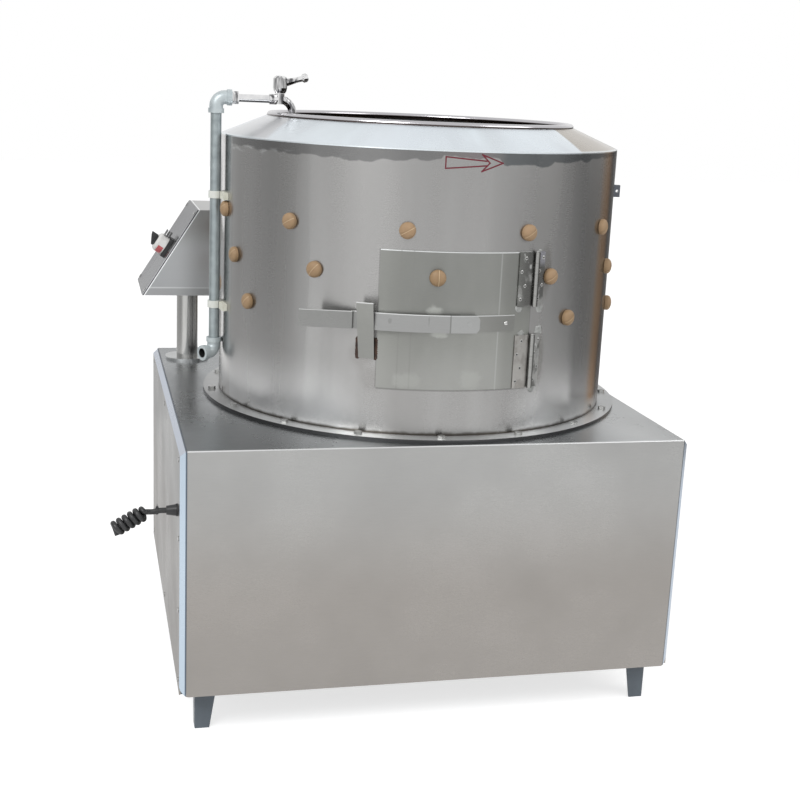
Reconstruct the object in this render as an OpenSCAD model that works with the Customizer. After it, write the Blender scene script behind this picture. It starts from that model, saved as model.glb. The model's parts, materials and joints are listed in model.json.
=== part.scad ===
// Drum poultry plucker: a fixed drum lined with rubber fingers stands on a sheet steel cabinet.
// A plate with more fingers turns at the bottom of the drum, driven by a motor and two belts.
// Millimetres, +Z up. The origin is on the floor, under the middle of the machine.
// Angles round the drum are counted from the front, and grow towards the right.

/* [Cabinet] */
// Width over the two side panels
cab_w = 955; // [930:1:1050]
// Depth from the front face to the rear face
cab_d = 886; // [880:1:1000]
// Height of the top face above the floor
cab_top = 547; // [530:1:640]
// Height of the lower edge above the floor, which the feet make up
cab_bottom = 84; // [50:1:96]
// Thickness of the sheet steel
sheet_t = 2; // [1:0.5:3]
// Width of the bevelled fold along the top and front of each side panel
bevel = 12; // [6:1:16]
// Radius of the lower front corners
corner_r = 18; // [8:1:30]
// Outside radius of the fold between the top and the front
fold_r = 3; // [2.5:0.5:4]
// Side of the square frame tubes
tube_w = 40; // [30:1:42]
// Wall of the square frame tubes
tube_t = 3; // [2:0.5:5]
// Leg of the foot angles at the top
foot_top_w = 40; // [34:1:50]
// Leg of the foot angles at the floor
foot_end_w = 27; // [16:1:32]
// Thickness of the foot angles
foot_t = 4; // [3:0.5:6]

/* [Drum] */
// Outside diameter of the drum
drum_d = 800; // [760:1:806]
// Thickness of the drum wall and of its conical cover
drum_t = 2; // [1.5:0.5:3]
// Height of the cylindrical wall
drum_h = 520; // [480:1:600]
// Distance of the drum's axis to the right of the cabinet's middle
drum_off = 34; // [20:1:36]
// Height of the conical cover
cone_h = 41; // [20:1:80]
// Diameter of the mouth, to the middle of its rim rod
mouth_d = 607; // [560:1:660]
// Diameter of the rim rod
rim_rod_d = 13; // [8:1:18]
// Width of the flange ring round the foot of the drum
flange_w = 32; // [28:1:36]
// Thickness of the flange ring
flange_t = 6; // [4:0.5:10]
// Number of bolts through the flange ring
flange_bolts = 17; // [12:1:24]
// Diameter of the flange bolts
flange_bolt_d = 8; // [6:1:10]
// Height of the lifting lug above the cabinet
lug_z = 438; // [400:1:460]

/* [Fingers] */
// Columns of fingers round the drum
finger_columns = 11; // [9:1:12]
// Height of the lowest row above the cabinet
finger_z = 216; // [206:1:226]
// Distance between rows
finger_row_step = 82; // [74:1:88]
// Angle of the first column in the top row
finger_a = -16.2; // [-17.2:0.1:-15.2]
// Diameter of a finger's head
head_d = 30; // [26:0.5:31]
// Height of a finger's head
head_h = 13; // [8:0.5:14]
// Diameter of a finger's neck, where the wall grips it
neck_d = 21.6; // [18:0.2:23]
// Diameter of a finger at its root
root_d = 25; // [23.5:0.5:27]
// Diameter of a finger at its tip
tip_d = 15; // [10:0.5:18]
// Length of a finger from the wall to its tip
finger_l = 92; // [70:1:100]
// Ribs along a finger
finger_ribs = 6; // [3:1:9]

/* [Door] */
// Angle of the door's free edge
door_a = -22.8; // [-24:0.1:-22]
// Angle of the hinge pins
hinge_a = 19.2; // [18.6:0.1:19.4]
// Height of the door's lower edge above the cabinet
door_z = 92; // [70:1:100]
// Height of the door
door_h = 253; // [244:1:262]
// Thickness of the door plate
door_t = 2; // [1.5:0.5:3]
// Overlap of the door plate on the drum wall
door_lap = 12; // [6:1:16]
// Length of each hinge
hinge_l = 100; // [80:1:110]
// Width of the hinge leaf on the door
door_leaf_w = 36; // [28:1:40]
// Width of the hinge leaf on the drum
wall_leaf_w = 23; // [16:0.5:23]
// Thickness of the hinge leaves
leaf_t = 2; // [1.5:0.5:2.5]
// Outside diameter of the hinge knuckles
knuckle_d = 10.4; // [9:0.2:11.6]
// Diameter of the hinge pins
hinge_pin_d = 6; // [4:0.5:6.5]

/* [Latch] */
// Angle of the latch pivot
latch_a = 0.6; // [-1:0.1:2]
// Width of the latch bar
bar_w = 32; // [26:1:34]
// Thickness of the latch bar
bar_t = 4; // [3:0.5:5]
// Gap between the latch bar and the door
bar_gap = 6; // [6:0.5:9]
// Angle where the handle begins
handle_a = -29; // [-30:0.1:-28.8]
// Length of the handle
handle_l = 93; // [70:1:110]
// Angle at which the handle kicks away from the drum
handle_kick = 14; // [10:1:22]
// Step outwards where the handle begins
handle_step = 6; // [5:0.5:10]
// Diameter of the latch pivot
latch_pin_d = 8; // [6:0.5:10]
// Angle of the middle of the keeper
keeper_a = -25.5; // [-26:0.1:-25.2]
// Width of the keeper strap
keeper_w = 29; // [24:1:31]
// Height of the keeper's top above the latch bar's lower edge
keeper_rise = 51; // [40:1:53]
// Height of the keeper's welded foot
keeper_foot = 54; // [44:1:60]

/* [Feather plate and drive] */
// Gap between the feather plate and the drum wall
plate_gap = 26; // [16:1:34]
// Thickness of the feather plate
plate_t = 4; // [3:0.5:8]
// Height of the feather plate above the cabinet
plate_z = 25; // [22:1:34]
// Diameter of the main shaft
shaft_d = 40; // [30:1:44]
// Outside diameter of the main bearings
bearing_d = 90; // [80:1:96]
// Width of a main bearing
bearing_w = 23; // [18:1:28]
// Height of the cross beams above the floor
beam_z = 160; // [155:1:175]
// Distance of the cross beams from the drum's axis
beam_y = 110; // [100:1:125]
// Distance between the main shaft and the motor shaft
centres = 320; // [300:1:324]
// Outside diameter of the driven pulley
driven_d = 360; // [300:1:380]
// Outside diameter of the motor pulley
motor_pulley_d = 90; // [76:1:110]
// Diameter of the motor's finned body, without its fins
motor_d = 140; // [120:1:150]
// Length of the motor's finned body
motor_l = 200; // [160:1:210]
// Diameter of the motor shaft
motor_shaft_d = 24; // [18:1:28]
// Slope of the feather pan's floor
pan_slope = 8; // [5:0.5:9]
// Width of the feather outlet
outlet_w = 300; // [200:1:400]
// Height of the feather outlet
outlet_h = 90; // [70:1:100]

/* [Water line] */
// Outside diameter of the riser pipe
pipe_d = 21.3; // [17:0.1:24]
// Wall of the riser pipe
pipe_t = 2.6; // [2:0.1:3]
// Angle of the riser round the drum
riser_a = -87; // [-88:0.5:-86.5]
// Gap between the riser and the drum wall
riser_gap = 4.8; // [3:0.2:8]
// Height of the lower elbow's middle above the cabinet
inlet_z = 88; // [70:1:140]
// Height of the upper elbow's middle above the drum's mouth
tap_rise = 30; // [28:1:60]
// Diameter of the tapped water inlet
inlet_d = 18.6; // [17:0.1:19]
// Depth of the tapped water inlet
inlet_l = 15; // [10:1:16]
// Direction in which the water inlet faces
inlet_a = -57; // [-80:1:-40]
// Distance from the riser to the tap
tap_reach = 124; // [110:1:160]
// Diameter of the pipe that leads to the tap
tap_pipe_d = 15; // [12:0.5:16]
// Diameter of the tap's bonnet
bonnet_d = 28; // [24:1:32]
// Height of the tap's bonnet
bonnet_h = 33; // [26:1:40]
// Length of the tap's lever, from its axis
lever_l = 48; // [36:1:60]
// Rise of the tap's lever
lever_rise = 16; // [0:1:20]
// Bend radius of the spout
spout_bend = 25; // [20:1:32]
// Outside diameter of the spout
spout_d = 16; // [13:0.5:18]

/* [Control] */
// Distance of the control post to the left of the cabinet's middle
post_x = 407; // [396:1:416]
// Distance of the control post behind the cabinet's middle
post_y = 332; // [322:1:334]
// Diameter of the control post
post_d = 48.3; // [40:0.1:56]
// Wall of the control post
post_t = 2; // [1.5:0.5:3]
// Height of the control post, from the cabinet to the box
post_h = 162; // [120:1:220]
// Diameter of the post's foot flange
post_flange_d = 98; // [90:1:114]
// Height of the control box
box_h = 186; // [150:1:220]
// Depth of the control box, front to back
box_d = 225; // [180:1:226]
// Reach of the control box to the left of its post
box_left = 105; // [90:1:130]
// Reach of the control box to the right of its post
box_right = 71; // [50:1:76]
// Width of the control box's flat top
box_top_w = 58; // [40:1:80]
// Sheet of the control box and its cover
box_t = 1.5; // [1:0.5:2]
// Side of the switch base
switch_w = 45; // [44:1:60]
// Height of the switch base
switch_base_h = 7; // [6:1:14]
// Diameter of the switch body
switch_d = 42; // [32:1:44]
// Height of the switch body
switch_h = 23; // [18:1:34]
// Length of the switch knob
knob_l = 26; // [20:1:36]
// Distance of the switch from the near edge of the cover
switch_in = 76; // [50:1:140]

/* [Cord] */
// Diameter of the power cord
cord_d = 10; // [8:0.5:10.5]
// Radius of the cord's curls, to the middle of the cord
curl_r = 10.2; // [9.6:0.2:14]
// Distance between curls
curl_pitch = 11.2; // [11.2:0.2:14]
// Number of curls
curls = 5.5; // [3:0.5:8]
// Distance of the cord behind the cabinet's front face
cord_y = 64; // [64:1:90]
// Height of the cord above the floor
cord_z = 420; // [300:1:450]

/* [Hidden] */
$fn = 96;
// Clearances: between fixed pieces, in a running fit, between moving pieces, and past a cut
seam = 0.3;
run_fit = 0.05;
clear = 0.4;
cut = 1;

// Panel screws stand out furthest on the right and at the back
screw_d = 5;
screw_head_d = 9;
screw_head_h = 1.6;
screw_edge = 10;

// The sloped front of the control box, and how far the machine reaches to each side
slope_run = box_left + box_right - box_top_w;
slope_l = sqrt(slope_run * slope_run + box_h * box_h);
slope_a = atan2(box_h, slope_run);
reach_left = post_x + box_left + box_t * sin(slope_a);
reach_right = cab_w / 2 + screw_head_h;
cab_x = (reach_left - reach_right) / 2;
cab_y = -screw_head_h / 2;

drum_x = cab_x + drum_off;
drum_y = cab_y;
drum_r = drum_d / 2;
seam_z = cab_top + drum_h;
mouth_z = seam_z + cone_h;
mouth_r = mouth_d / 2;
rim_r = rim_rod_d / 2;
flange_r = drum_r + flange_w;
flange_pcd_r = drum_r + flange_w / 2;

// Arc length to angle at the drum's surface
function arc_a(l) = l / drum_r * 180 / PI;

// Layers outside the drum wall: door, hinge leaves, latch
door_bottom = cab_top + door_z;
door_r = drum_r + seam;
door_out_r = door_r + door_t;
door_end_a = hinge_a - arc_a(knuckle_d / 2 + clear);
knuckle_r = knuckle_d / 2;
hinge_axis_r = door_out_r + knuckle_r;
hinge_knuckles = 5;
bar_r = door_out_r + bar_gap;
latch_z = cab_top + finger_z;
bar_z = latch_z - bar_w / 2;
pad_t = 2.5;
pad_end_w = 90;
boss_r = latch_pin_d / 2 + 5;
strap_t = 4;

// Finger places: height and angle of a row and column, and what stands in the way
finger_rows = 3;
column_a = 360 / finger_columns;
function row_z(row) = cab_top + finger_z + row * finger_row_step;
function wrap(a) = a > 180 ? a - 360 : a;
function finger_angle(row, col) = wrap(finger_a + (finger_rows - 1 - row + 4 * col) * column_a / 4);
function on_door(a, z) = a > door_a && a < hinge_a && z > door_bottom && z < door_bottom + door_h;
function behind_latch(a, z) =
    a > handle_a - arc_a(handle_l) && a < hinge_a && abs(z - latch_z) < (bar_w + head_d) / 2;
finger_places = [
    for (row = [0:finger_rows - 1], col = [0:finger_columns - 1])
        let (a = finger_angle(row, col), z = row_z(row))
            if (!behind_latch(a, z)) [a, z]
];

// Drive levels, from the floor up
pulley_h = 44;
pulley_z = beam_z - 10 - 4 - pulley_h;
motor_plate_t = 10;
belt_w = 13;
belt_t = 8;
belt_step = 19;
groove_depth = 10;
motor_x = drum_x - centres;
housing_r = bearing_d / 2 + 12;
housing_flange_w = 2 * beam_y + tube_w + 20;
housing_flange_t = 12;
housing_z = beam_z + 5;
housing_h = 236;
housing_top = housing_z + housing_h;
plate_bottom = cab_top + plate_z;
plate_r = drum_r - drum_t - plate_gap;
hub_flange_r = shaft_d / 2 + 56;
hub_flange_t = 12;
hub_boss_r = shaft_d / 2 + 24;
hub_h = 54;
washer_w = 12;
washer_t = 5;
nut_w = 8;
nut_h = 18;
shaft_bottom = pulley_z - 6;
pan_inset = 6;
pan_clear = 7;
frame_room_x = cab_w / 2 - sheet_t - tube_w - abs(drum_x - cab_x);
frame_room_y = cab_d / 2 - sheet_t - tube_w - abs(drum_y - cab_y);
pan_r = min(drum_r - pan_inset, frame_room_x - pan_clear, frame_room_y - pan_clear);
pan_front_z = cab_top - 46;
pan_lip_r = pan_r - 7;
sleeve_r = hub_boss_r + 12;
sleeve_t = 3;
sleeve_gap = 12;
plate_rings = [[100, 6], [200, 12], [310, 18]];
function pan_floor(y) = pan_front_z - (y + pan_r) * tan(pan_slope);
outlet_z = pan_floor(pan_r);

// Frame places
post_inset = bevel + 3 + tube_w / 2;
rail_top = cab_top - bevel - 3;
frame_x = cab_w / 2 - sheet_t - tube_w / 2;
frame_y = cab_d / 2 - post_inset;
foot_x = cab_w / 2 - 31;
foot_y = cab_d / 2 - 41;

// Water line places
pipe_r = pipe_d / 2;
riser_r = drum_r + riser_gap + pipe_r;
riser_x = drum_x + riser_r * sin(riser_a);
riser_y = drum_y - riser_r * cos(riser_a);
upper_clip_z = 397;
lower_clip_z = 179;
clip_heights = [cab_top + upper_clip_z, cab_top + lower_clip_z];
clip_ear_l = 48;
elbow_bend = 17;
elbow_r = pipe_r + 2.6;
collar_r = pipe_r + 4.7;
collar_l = 9;
socket_l = 13;
inlet_axis_z = cab_top + inlet_z;
tap_axis_z = mouth_z + tap_rise;
tap_x = riser_x + tap_reach;
elbow_leg = elbow_bend + socket_l;
bush_l = 13;
tap_neck_r = 9;
bonnet_z = tap_axis_z + 12;

// Control places
post_cx = cab_x - post_x;
post_cy = cab_y + post_y;
post_flange_t = 6;
box_z = cab_top + post_h;
box_x = post_cx - box_left;
box_y = post_cy - box_d / 2;
switch_share = 0.505;
switch_along = slope_l * switch_share;
switch_across = switch_in - box_d / 2;
knob_stem_d = 8;

// Cord places: the cord leaves the left panel and then winds along a drooping axis
gland_x = cab_x - cab_w / 2;
gland_flange_t = 3;
gland_l = 20;
cord_start = [gland_x - gland_l, cab_y - cab_d / 2 + cord_y, cord_z];
cord_lead = [[0, 0, 0], [-10, 0, 0], [-17, 0, -1], [-24, 0, -2], [-31, 0, -2]];
curl_steps = 8;
cord_sides = 6;
curl_drop = 30;
curl_axis = [-cos(curl_drop), 0, -sin(curl_drop)];
curl_up = [-sin(curl_drop), 0, cos(curl_drop)];
curl_side = [0, 1, 0];
curl_origin = [-38, 0, -2];
curl_count = curls * curl_steps;
function curl_point(i) =
    let (r = curl_r * min(1, (i + 1) / 4), a = 360 * i / curl_steps - 60)
        curl_origin + curl_axis * curl_pitch * i / curl_steps + (curl_up * cos(a) + curl_side * sin(a)) * r;
curl_points = [for (i = [0:curl_count]) curl_point(i)];
cord_tail = curl_points[curl_count] - curl_points[curl_count - 1];
cord_end = curl_points[curl_count] + cord_tail * cord_d / norm(cord_tail);
cord_points = concat(cord_lead, curl_points, [cord_end]);
cord_last = len(cord_points) - 1;

// Helpers

// A stretch of wall round the drum's axis, from one angle and height to another
module wall_arc(r_in, r_out, a1, a2, z1, z2) {
    translate([drum_x, drum_y, z1])
        rotate([0, 0, a1 - 90])
            rotate_extrude(angle = a2 - a1)
                translate([r_in, 0])
                    square([r_out - r_in, z2 - z1]);
}

// A full ring round the drum's axis
module drum_ring(r_in, r_out, z1, z2) {
    translate([drum_x, drum_y, z1])
        difference() {
            cylinder(r = r_out, h = z2 - z1);
            translate([0, 0, -cut])
                cylinder(r = r_in, h = z2 - z1 + 2 * cut);
        }
}

// Sets its children on the drum, with their +Z pointing straight out
module on_wall(a, z, r) {
    translate([drum_x, drum_y, z])
        rotate([0, 0, a - 90])
            translate([r, 0, 0])
                rotate([0, 90, 0])
                    children();
}

// A square tube along X, from x1 to x2, centred on y and standing on z
module square_tube(x1, x2, y, z) {
    translate([x1, y - tube_w / 2, z])
        difference() {
            cube([x2 - x1, tube_w, tube_w]);
            translate([-cut, tube_t, tube_t])
                cube([x2 - x1 + 2 * cut, tube_w - 2 * tube_t, tube_w - 2 * tube_t]);
        }
}

// The cabinet's outline with bevelled edges, drawn in from every face by an inset
module cabinet_block(inset, lower, rear) {
    hw = cab_w / 2 - inset;
    hd = cab_d / 2 - inset;
    back = cab_d / 2 + rear;
    top = cab_top - inset;
    c = bevel - inset * (2 - sqrt(2));
    translate([cab_x, cab_y, 0])
        intersection() {
            translate([0, 0, lower])
                linear_extrude(top - lower)
                    polygon([[c - hw, -hd], [hw - c, -hd], [hw, c - hd],
                        [hw, back], [-hw, back], [-hw, c - hd]]);
            rotate([90, 0, 0])
                translate([0, 0, -cab_d])
                    linear_extrude(2 * cab_d)
                        polygon([[-hw, lower], [hw, lower], [hw, top - c],
                            [hw - c, top], [c - hw, top], [-hw, top - c]]);
        }
}

module cabinet_skin() {
    difference() {
        cabinet_block(0, cab_bottom, 0);
        cabinet_block(sheet_t, cab_bottom - cut, cut);
    }
}

// What is cut away to round the two lower corners of the cabinet's front
module front_corner_cut() {
    for (side = [-1, 1])
        translate([cab_x + side * cab_w / 2, cab_y - cab_d / 2, cab_bottom])
            difference() {
                translate([-corner_r, -cut, -cut])
                    cube([2 * corner_r, bevel + cut, corner_r + cut]);
                translate([-side * corner_r, -2 * cut, corner_r])
                    rotate([-90, 0, 0])
                        cylinder(r = corner_r, h = bevel + 4 * cut);
            }
}

// Places of the screws on a side panel, as distance from the cabinet's middle and height
side_screws = concat(
    [for (y = [-1, 0, 1], z = [cab_bottom + tube_w / 2, rail_top - screw_edge]) [y * frame_y, z]],
    [for (k = [1, 2]) [-frame_y, cab_bottom + tube_w / 2 + k * (rail_top - cab_bottom - tube_w) / 3]]
);
rear_screws = [
    for (x = [-1, 0, 1], z = [cab_bottom + tube_w / 2, rail_top - screw_edge])
        [x * (frame_x - tube_w / 2 - screw_edge), z]
];

// A screw with a low round head, its shank just through a sheet
module panel_screw(sheet) {
    cylinder(d = screw_head_d, h = screw_head_h);
    translate([0, 0, -sheet])
        cylinder(d = screw_d, h = sheet);
}

module side_screw_places(side) {
    for (p = side_screws)
        translate([cab_x + side * cab_w / 2, cab_y + p[0], p[1]])
            rotate([0, side * 90, 0])
                children();
}

module rear_screw_places() {
    for (p = rear_screws)
        translate([cab_x + p[0], cab_y + cab_d / 2, p[1]])
            rotate([-90, 0, 0])
                children();
}

module screw_hole() {
    translate([0, 0, -10])
        cylinder(d = screw_d + 2 * seam, h = 20);
}

module flange_bolt_places() {
    for (i = [0:flange_bolts - 1])
        translate([drum_x, drum_y, 0])
            rotate([0, 0, i * 360 / flange_bolts - 180])
                translate([flange_pcd_r, 0, cab_top])
                    children();
}

// One rubber finger: a domed head outside the wall, a neck in it and a ribbed taper inside.
// Z = 0 is the outer face of a wall of the given thickness, and the head is on the +Z side.
module finger(wall) {
    head_r = head_d / 2;
    skirt = head_h - 8;
    inner = -wall - clear;
    body_l = finger_l - 8;
    rib = body_l / finger_ribs;
    dome = [for (t = [90:-15:0]) [head_r * cos(t), skirt + (head_h - skirt) * sin(t)]];
    ribs = [
        for (i = [0:finger_ribs - 1], half = [0, 1])
            let (k = i + half * 0.6, r = root_d / 2 + (tip_d - root_d) / 2 * k / finger_ribs)
                [r - half * 1.4, inner - k * rib]
    ];
    tip = [[tip_d / 2, inner - body_l], [tip_d / 4, -wall - finger_l], [0, -wall - finger_l]];
    rotate_extrude()
        polygon(concat(dome, [[head_r, 0.1], [neck_d / 2, 0.1], [neck_d / 2, inner]], ribs, tip));
}

module finger_hole(wall) {
    translate([0, 0, -wall - 4])
        cylinder(d = neck_d + clear, h = wall + 8);
}

// Frame and cabinet

module frame_posts() {
    color("slategray")
        for (sx = [-1, 1], sy = [-1, 1])
            translate([cab_x + sx * frame_x, cab_y + sy * frame_y, cab_bottom])
                difference() {
                    translate([-tube_w / 2, -tube_w / 2, 0])
                        cube([tube_w, tube_w, rail_top - cab_bottom]);
                    translate([tube_t - tube_w / 2, tube_t - tube_w / 2, -cut])
                        cube([tube_w - 2 * tube_t, tube_w - 2 * tube_t, rail_top - cab_bottom + 2 * cut]);
                }
}

module cross_rails() {
    half = frame_x - tube_w / 2;
    y = cab_d / 2 - sheet_t - tube_w / 2;
    color("slategray")
        for (sy = [-1, 1], z = [cab_bottom, cab_top - sheet_t - tube_w])
            square_tube(cab_x - half, cab_x + half, cab_y + sy * y, z);
}

module side_rails() {
    half = frame_y - tube_w / 2;
    color("slategray")
        for (sx = [-1, 1], z = [cab_bottom, beam_z, rail_top - tube_w])
            translate([cab_x + sx * frame_x, cab_y, 0])
                rotate([0, 0, 90])
                    square_tube(-half, half, 0, z);
}

module bearing_beams() {
    half = frame_x - tube_w / 2;
    color("slategray")
        for (sy = [-1, 1])
            square_tube(cab_x - half, cab_x + half, drum_y + sy * beam_y, beam_z);
}

// One tapered leg of a foot angle, as a plate
module foot_leg() {
    rotate([90, 0, 0])
        linear_extrude(foot_t)
            polygon([[0, 0], [foot_end_w, 0], [foot_top_w, cab_bottom], [0, cab_bottom]]);
}

module feet() {
    color("slategray")
        for (sx = [-1, 1], sy = [-1, 1])
            translate([cab_x + sx * foot_x, cab_y + sy * foot_y, 0])
                scale([-sx, -sy, 1]) {
                    translate([0, foot_t, 0])
                        foot_leg();
                    mirror([1, -1, 0])
                        translate([0, foot_t, 0])
                            foot_leg();
                }
}

module front_top_panel() {
    half = cab_w / 2 - bevel;
    color("silver")
        difference() {
            intersection() {
                cabinet_skin();
                translate([cab_x - half, cab_y - cab_d, 0])
                    cube([2 * half, 2 * cab_d, 2 * cab_top]);
            }
            front_corner_cut();
            translate([cab_x - half, cab_y - cab_d / 2, cab_top - fold_r])
                difference() {
                    translate([-cut, -cut, 0])
                        cube([2 * half + 2 * cut, fold_r + cut, fold_r + cut]);
                    translate([-2 * cut, fold_r, 0])
                        rotate([0, 90, 0])
                            cylinder(r = fold_r, h = 2 * half + 4 * cut);
                }
            translate([drum_x, drum_y, cab_top - sheet_t - cut])
                cylinder(r = pan_lip_r, h = sheet_t + 2 * cut);
            flange_bolt_places()
                translate([0, 0, -10])
                    cylinder(d = flange_bolt_d + 2 * seam, h = 20);
        }
}

module side_panel(side) {
    width = 2 * (bevel - seam);
    difference() {
        intersection() {
            cabinet_skin();
            translate([cab_x + side * cab_w / 2 - width / 2, cab_y - cab_d, 0])
                cube([width, 2 * cab_d, 2 * cab_top]);
        }
        front_corner_cut();
        side_screw_places(side)
            screw_hole();
    }
}

module left_side_panel() {
    color("lightgray")
        difference() {
            side_panel(-1);
            translate([gland_x - 10, cord_start[1], cord_z])
                rotate([0, 90, 0])
                    cylinder(d = cord_d + 6, h = 20);
        }
}

module right_side_panel() {
    color("lightgray")
        side_panel(1);
}

module rear_panel() {
    color("silver")
        difference() {
            intersection() {
                cabinet_block(sheet_t + seam, cab_bottom, 0);
                translate([cab_x - cab_w, cab_y + cab_d / 2 - sheet_t, 0])
                    cube([2 * cab_w, sheet_t, 2 * cab_top]);
            }
            translate([drum_x - outlet_w / 2, cab_y + cab_d / 2 - 10, outlet_z])
                cube([outlet_w, 20, outlet_h]);
            rear_screw_places()
                screw_hole();
        }
}

module panel_screws() {
    color("dimgray") {
        for (side = [-1, 1])
            side_screw_places(side)
                panel_screw(sheet_t);
        rear_screw_places()
            panel_screw(sheet_t);
    }
}

// Drum

module drum_shell() {
    lap_a = arc_a(door_lap);
    color("silver")
        difference() {
            drum_ring(drum_r - drum_t, drum_r, cab_top, seam_z);
            wall_arc(drum_r - drum_t - cut, drum_r + cut, door_a + lap_a, door_end_a - lap_a,
                door_bottom + door_lap, door_bottom + door_h - door_lap);
            for (p = finger_places)
                if (!on_door(p[0], p[1]))
                    on_wall(p[0], p[1], drum_r)
                        finger_hole(drum_t);
        }
}

module drum_flange() {
    color("gainsboro")
        difference() {
            drum_ring(drum_r + seam / 2, flange_r, cab_top, cab_top + flange_t);
            flange_bolt_places()
                translate([0, 0, -cut])
                    cylinder(d = flange_bolt_d + 2 * seam, h = flange_t + 2 * cut);
        }
}

module flange_bolts() {
    shank = flange_t + sheet_t;
    color("lightgray")
        flange_bolt_places()
            translate([0, 0, flange_t]) {
                cylinder(d = 1.9 * flange_bolt_d, h = 0.6 * flange_bolt_d, $fn = 6);
                translate([0, 0, -shank])
                    cylinder(d = flange_bolt_d, h = shank);
            }
}

module cone_cover() {
    rise = (cone_h - rim_r / 2) / (drum_r - mouth_r - rim_r);
    inner_r = mouth_r + rim_r + seam;
    inner_z = seam_z + (drum_r - inner_r) * rise;
    color("whitesmoke")
        translate([drum_x, drum_y, 0])
            rotate_extrude()
                polygon([[drum_r - drum_t, seam_z], [drum_r, seam_z], [drum_r, seam_z + drum_t],
                    [inner_r, inner_z + drum_t], [inner_r, inner_z],
                    [drum_r - 2 * drum_t, seam_z + drum_t * rise]]);
}

module rim_ring() {
    color("lightgray")
        translate([drum_x, drum_y, mouth_z])
            rotate_extrude()
                translate([mouth_r, 0])
                    circle(r = rim_r);
}

module lifting_lug() {
    color("darkgray")
        on_wall(74, cab_top + lug_z, drum_r + seam)
            difference() {
                translate([-12, -8, 0])
                    cube([24, 16, 14]);
                translate([0, -10, 8])
                    rotate([-90, 0, 0])
                        cylinder(d = 6, h = 20);
            }
}

module wall_fingers() {
    color("burlywood")
        for (p = finger_places)
            if (!on_door(p[0], p[1]))
                on_wall(p[0], p[1], drum_r)
                    finger(drum_t);
}

// Door, hinges and latch

module door_panel() {
    color("gainsboro")
        difference() {
            wall_arc(door_r, door_out_r, door_a, door_end_a, door_bottom, door_bottom + door_h);
            for (p = finger_places)
                if (on_door(p[0], p[1]))
                    on_wall(p[0], p[1], door_out_r)
                        finger_hole(door_t);
        }
}

module door_finger() {
    color("burlywood")
        for (p = finger_places)
            if (on_door(p[0], p[1]))
                on_wall(p[0], p[1], door_out_r)
                    finger(door_t);
}

hinge_bottoms = [door_bottom, door_bottom + door_h - hinge_l];

// The knuckles of one leaf: every other one, counted from the first
module knuckles(first, z, tongue_in, tongue_out, a1, a2) {
    pitch = hinge_l / hinge_knuckles;
    for (i = [first:2:hinge_knuckles - 1]) {
        lower = z + i * pitch + clear / 2;
        wall_arc(tongue_in, tongue_out, a1, a2, lower, lower + pitch - clear);
        translate([drum_x + hinge_axis_r * sin(hinge_a), drum_y - hinge_axis_r * cos(hinge_a), lower])
            cylinder(r = knuckle_r, h = pitch - clear);
    }
}

module hinge_bore(z) {
    translate([drum_x + hinge_axis_r * sin(hinge_a), drum_y - hinge_axis_r * cos(hinge_a), z - cut])
        cylinder(d = hinge_pin_d + 2 * run_fit, h = hinge_l + 2 * cut);
}

module door_hinge_leaves() {
    leaf_r = door_out_r + 0.1;
    leaf_a = hinge_a - arc_a(door_leaf_w);
    color("lightgray")
        for (z = hinge_bottoms)
            difference() {
                union() {
                    wall_arc(leaf_r, leaf_r + leaf_t, leaf_a, door_end_a, z, z + hinge_l);
                    knuckles(1, z, leaf_r + 0.2, leaf_r + leaf_t - 0.2, door_end_a - 0.3, hinge_a);
                }
                hinge_bore(z);
            }
}

module wall_hinge_leaves() {
    leaf_r = drum_r + 0.1;
    start_a = hinge_a + arc_a(knuckle_r + clear);
    color("lightgray")
        for (z = hinge_bottoms)
            difference() {
                union() {
                    wall_arc(leaf_r, leaf_r + leaf_t,
                        start_a, hinge_a + arc_a(wall_leaf_w), z, z + hinge_l);
                    knuckles(0, z, leaf_r + 0.3, hinge_axis_r - knuckle_r / 2, hinge_a, start_a + 0.3);
                }
                hinge_bore(z);
            }
}

module hinge_pins() {
    color("silver")
        for (z = hinge_bottoms)
            translate([drum_x + hinge_axis_r * sin(hinge_a), drum_y - hinge_axis_r * cos(hinge_a), z]) {
                cylinder(d = hinge_pin_d, h = hinge_l);
                translate([0, 0, hinge_l])
                    cylinder(d = hinge_pin_d + 2, h = 2);
            }
}

// The pad is screwed to the door and carries the pivot that the latch bar turns on
// A strip on the door whose riveted pin carries the latch bar
module latch_pad() {
    pad_r = door_out_r + 0.1;
    pad_a = latch_a + arc_a(pad_end_w);
    color("lightgray")
        union() {
            wall_arc(pad_r, pad_r + pad_t, latch_a - arc_a(bar_w / 2), pad_a, bar_z + 1, bar_z + bar_w - 1);
            on_wall(latch_a, latch_z, pad_r + pad_t / 2)
                cylinder(r = boss_r, h = bar_r - clear - pad_r - pad_t / 2);
            on_wall(latch_a, latch_z, pad_r + pad_t)
                cylinder(d = latch_pin_d, h = bar_r + bar_t + clear - pad_r - pad_t);
        }
}

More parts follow.
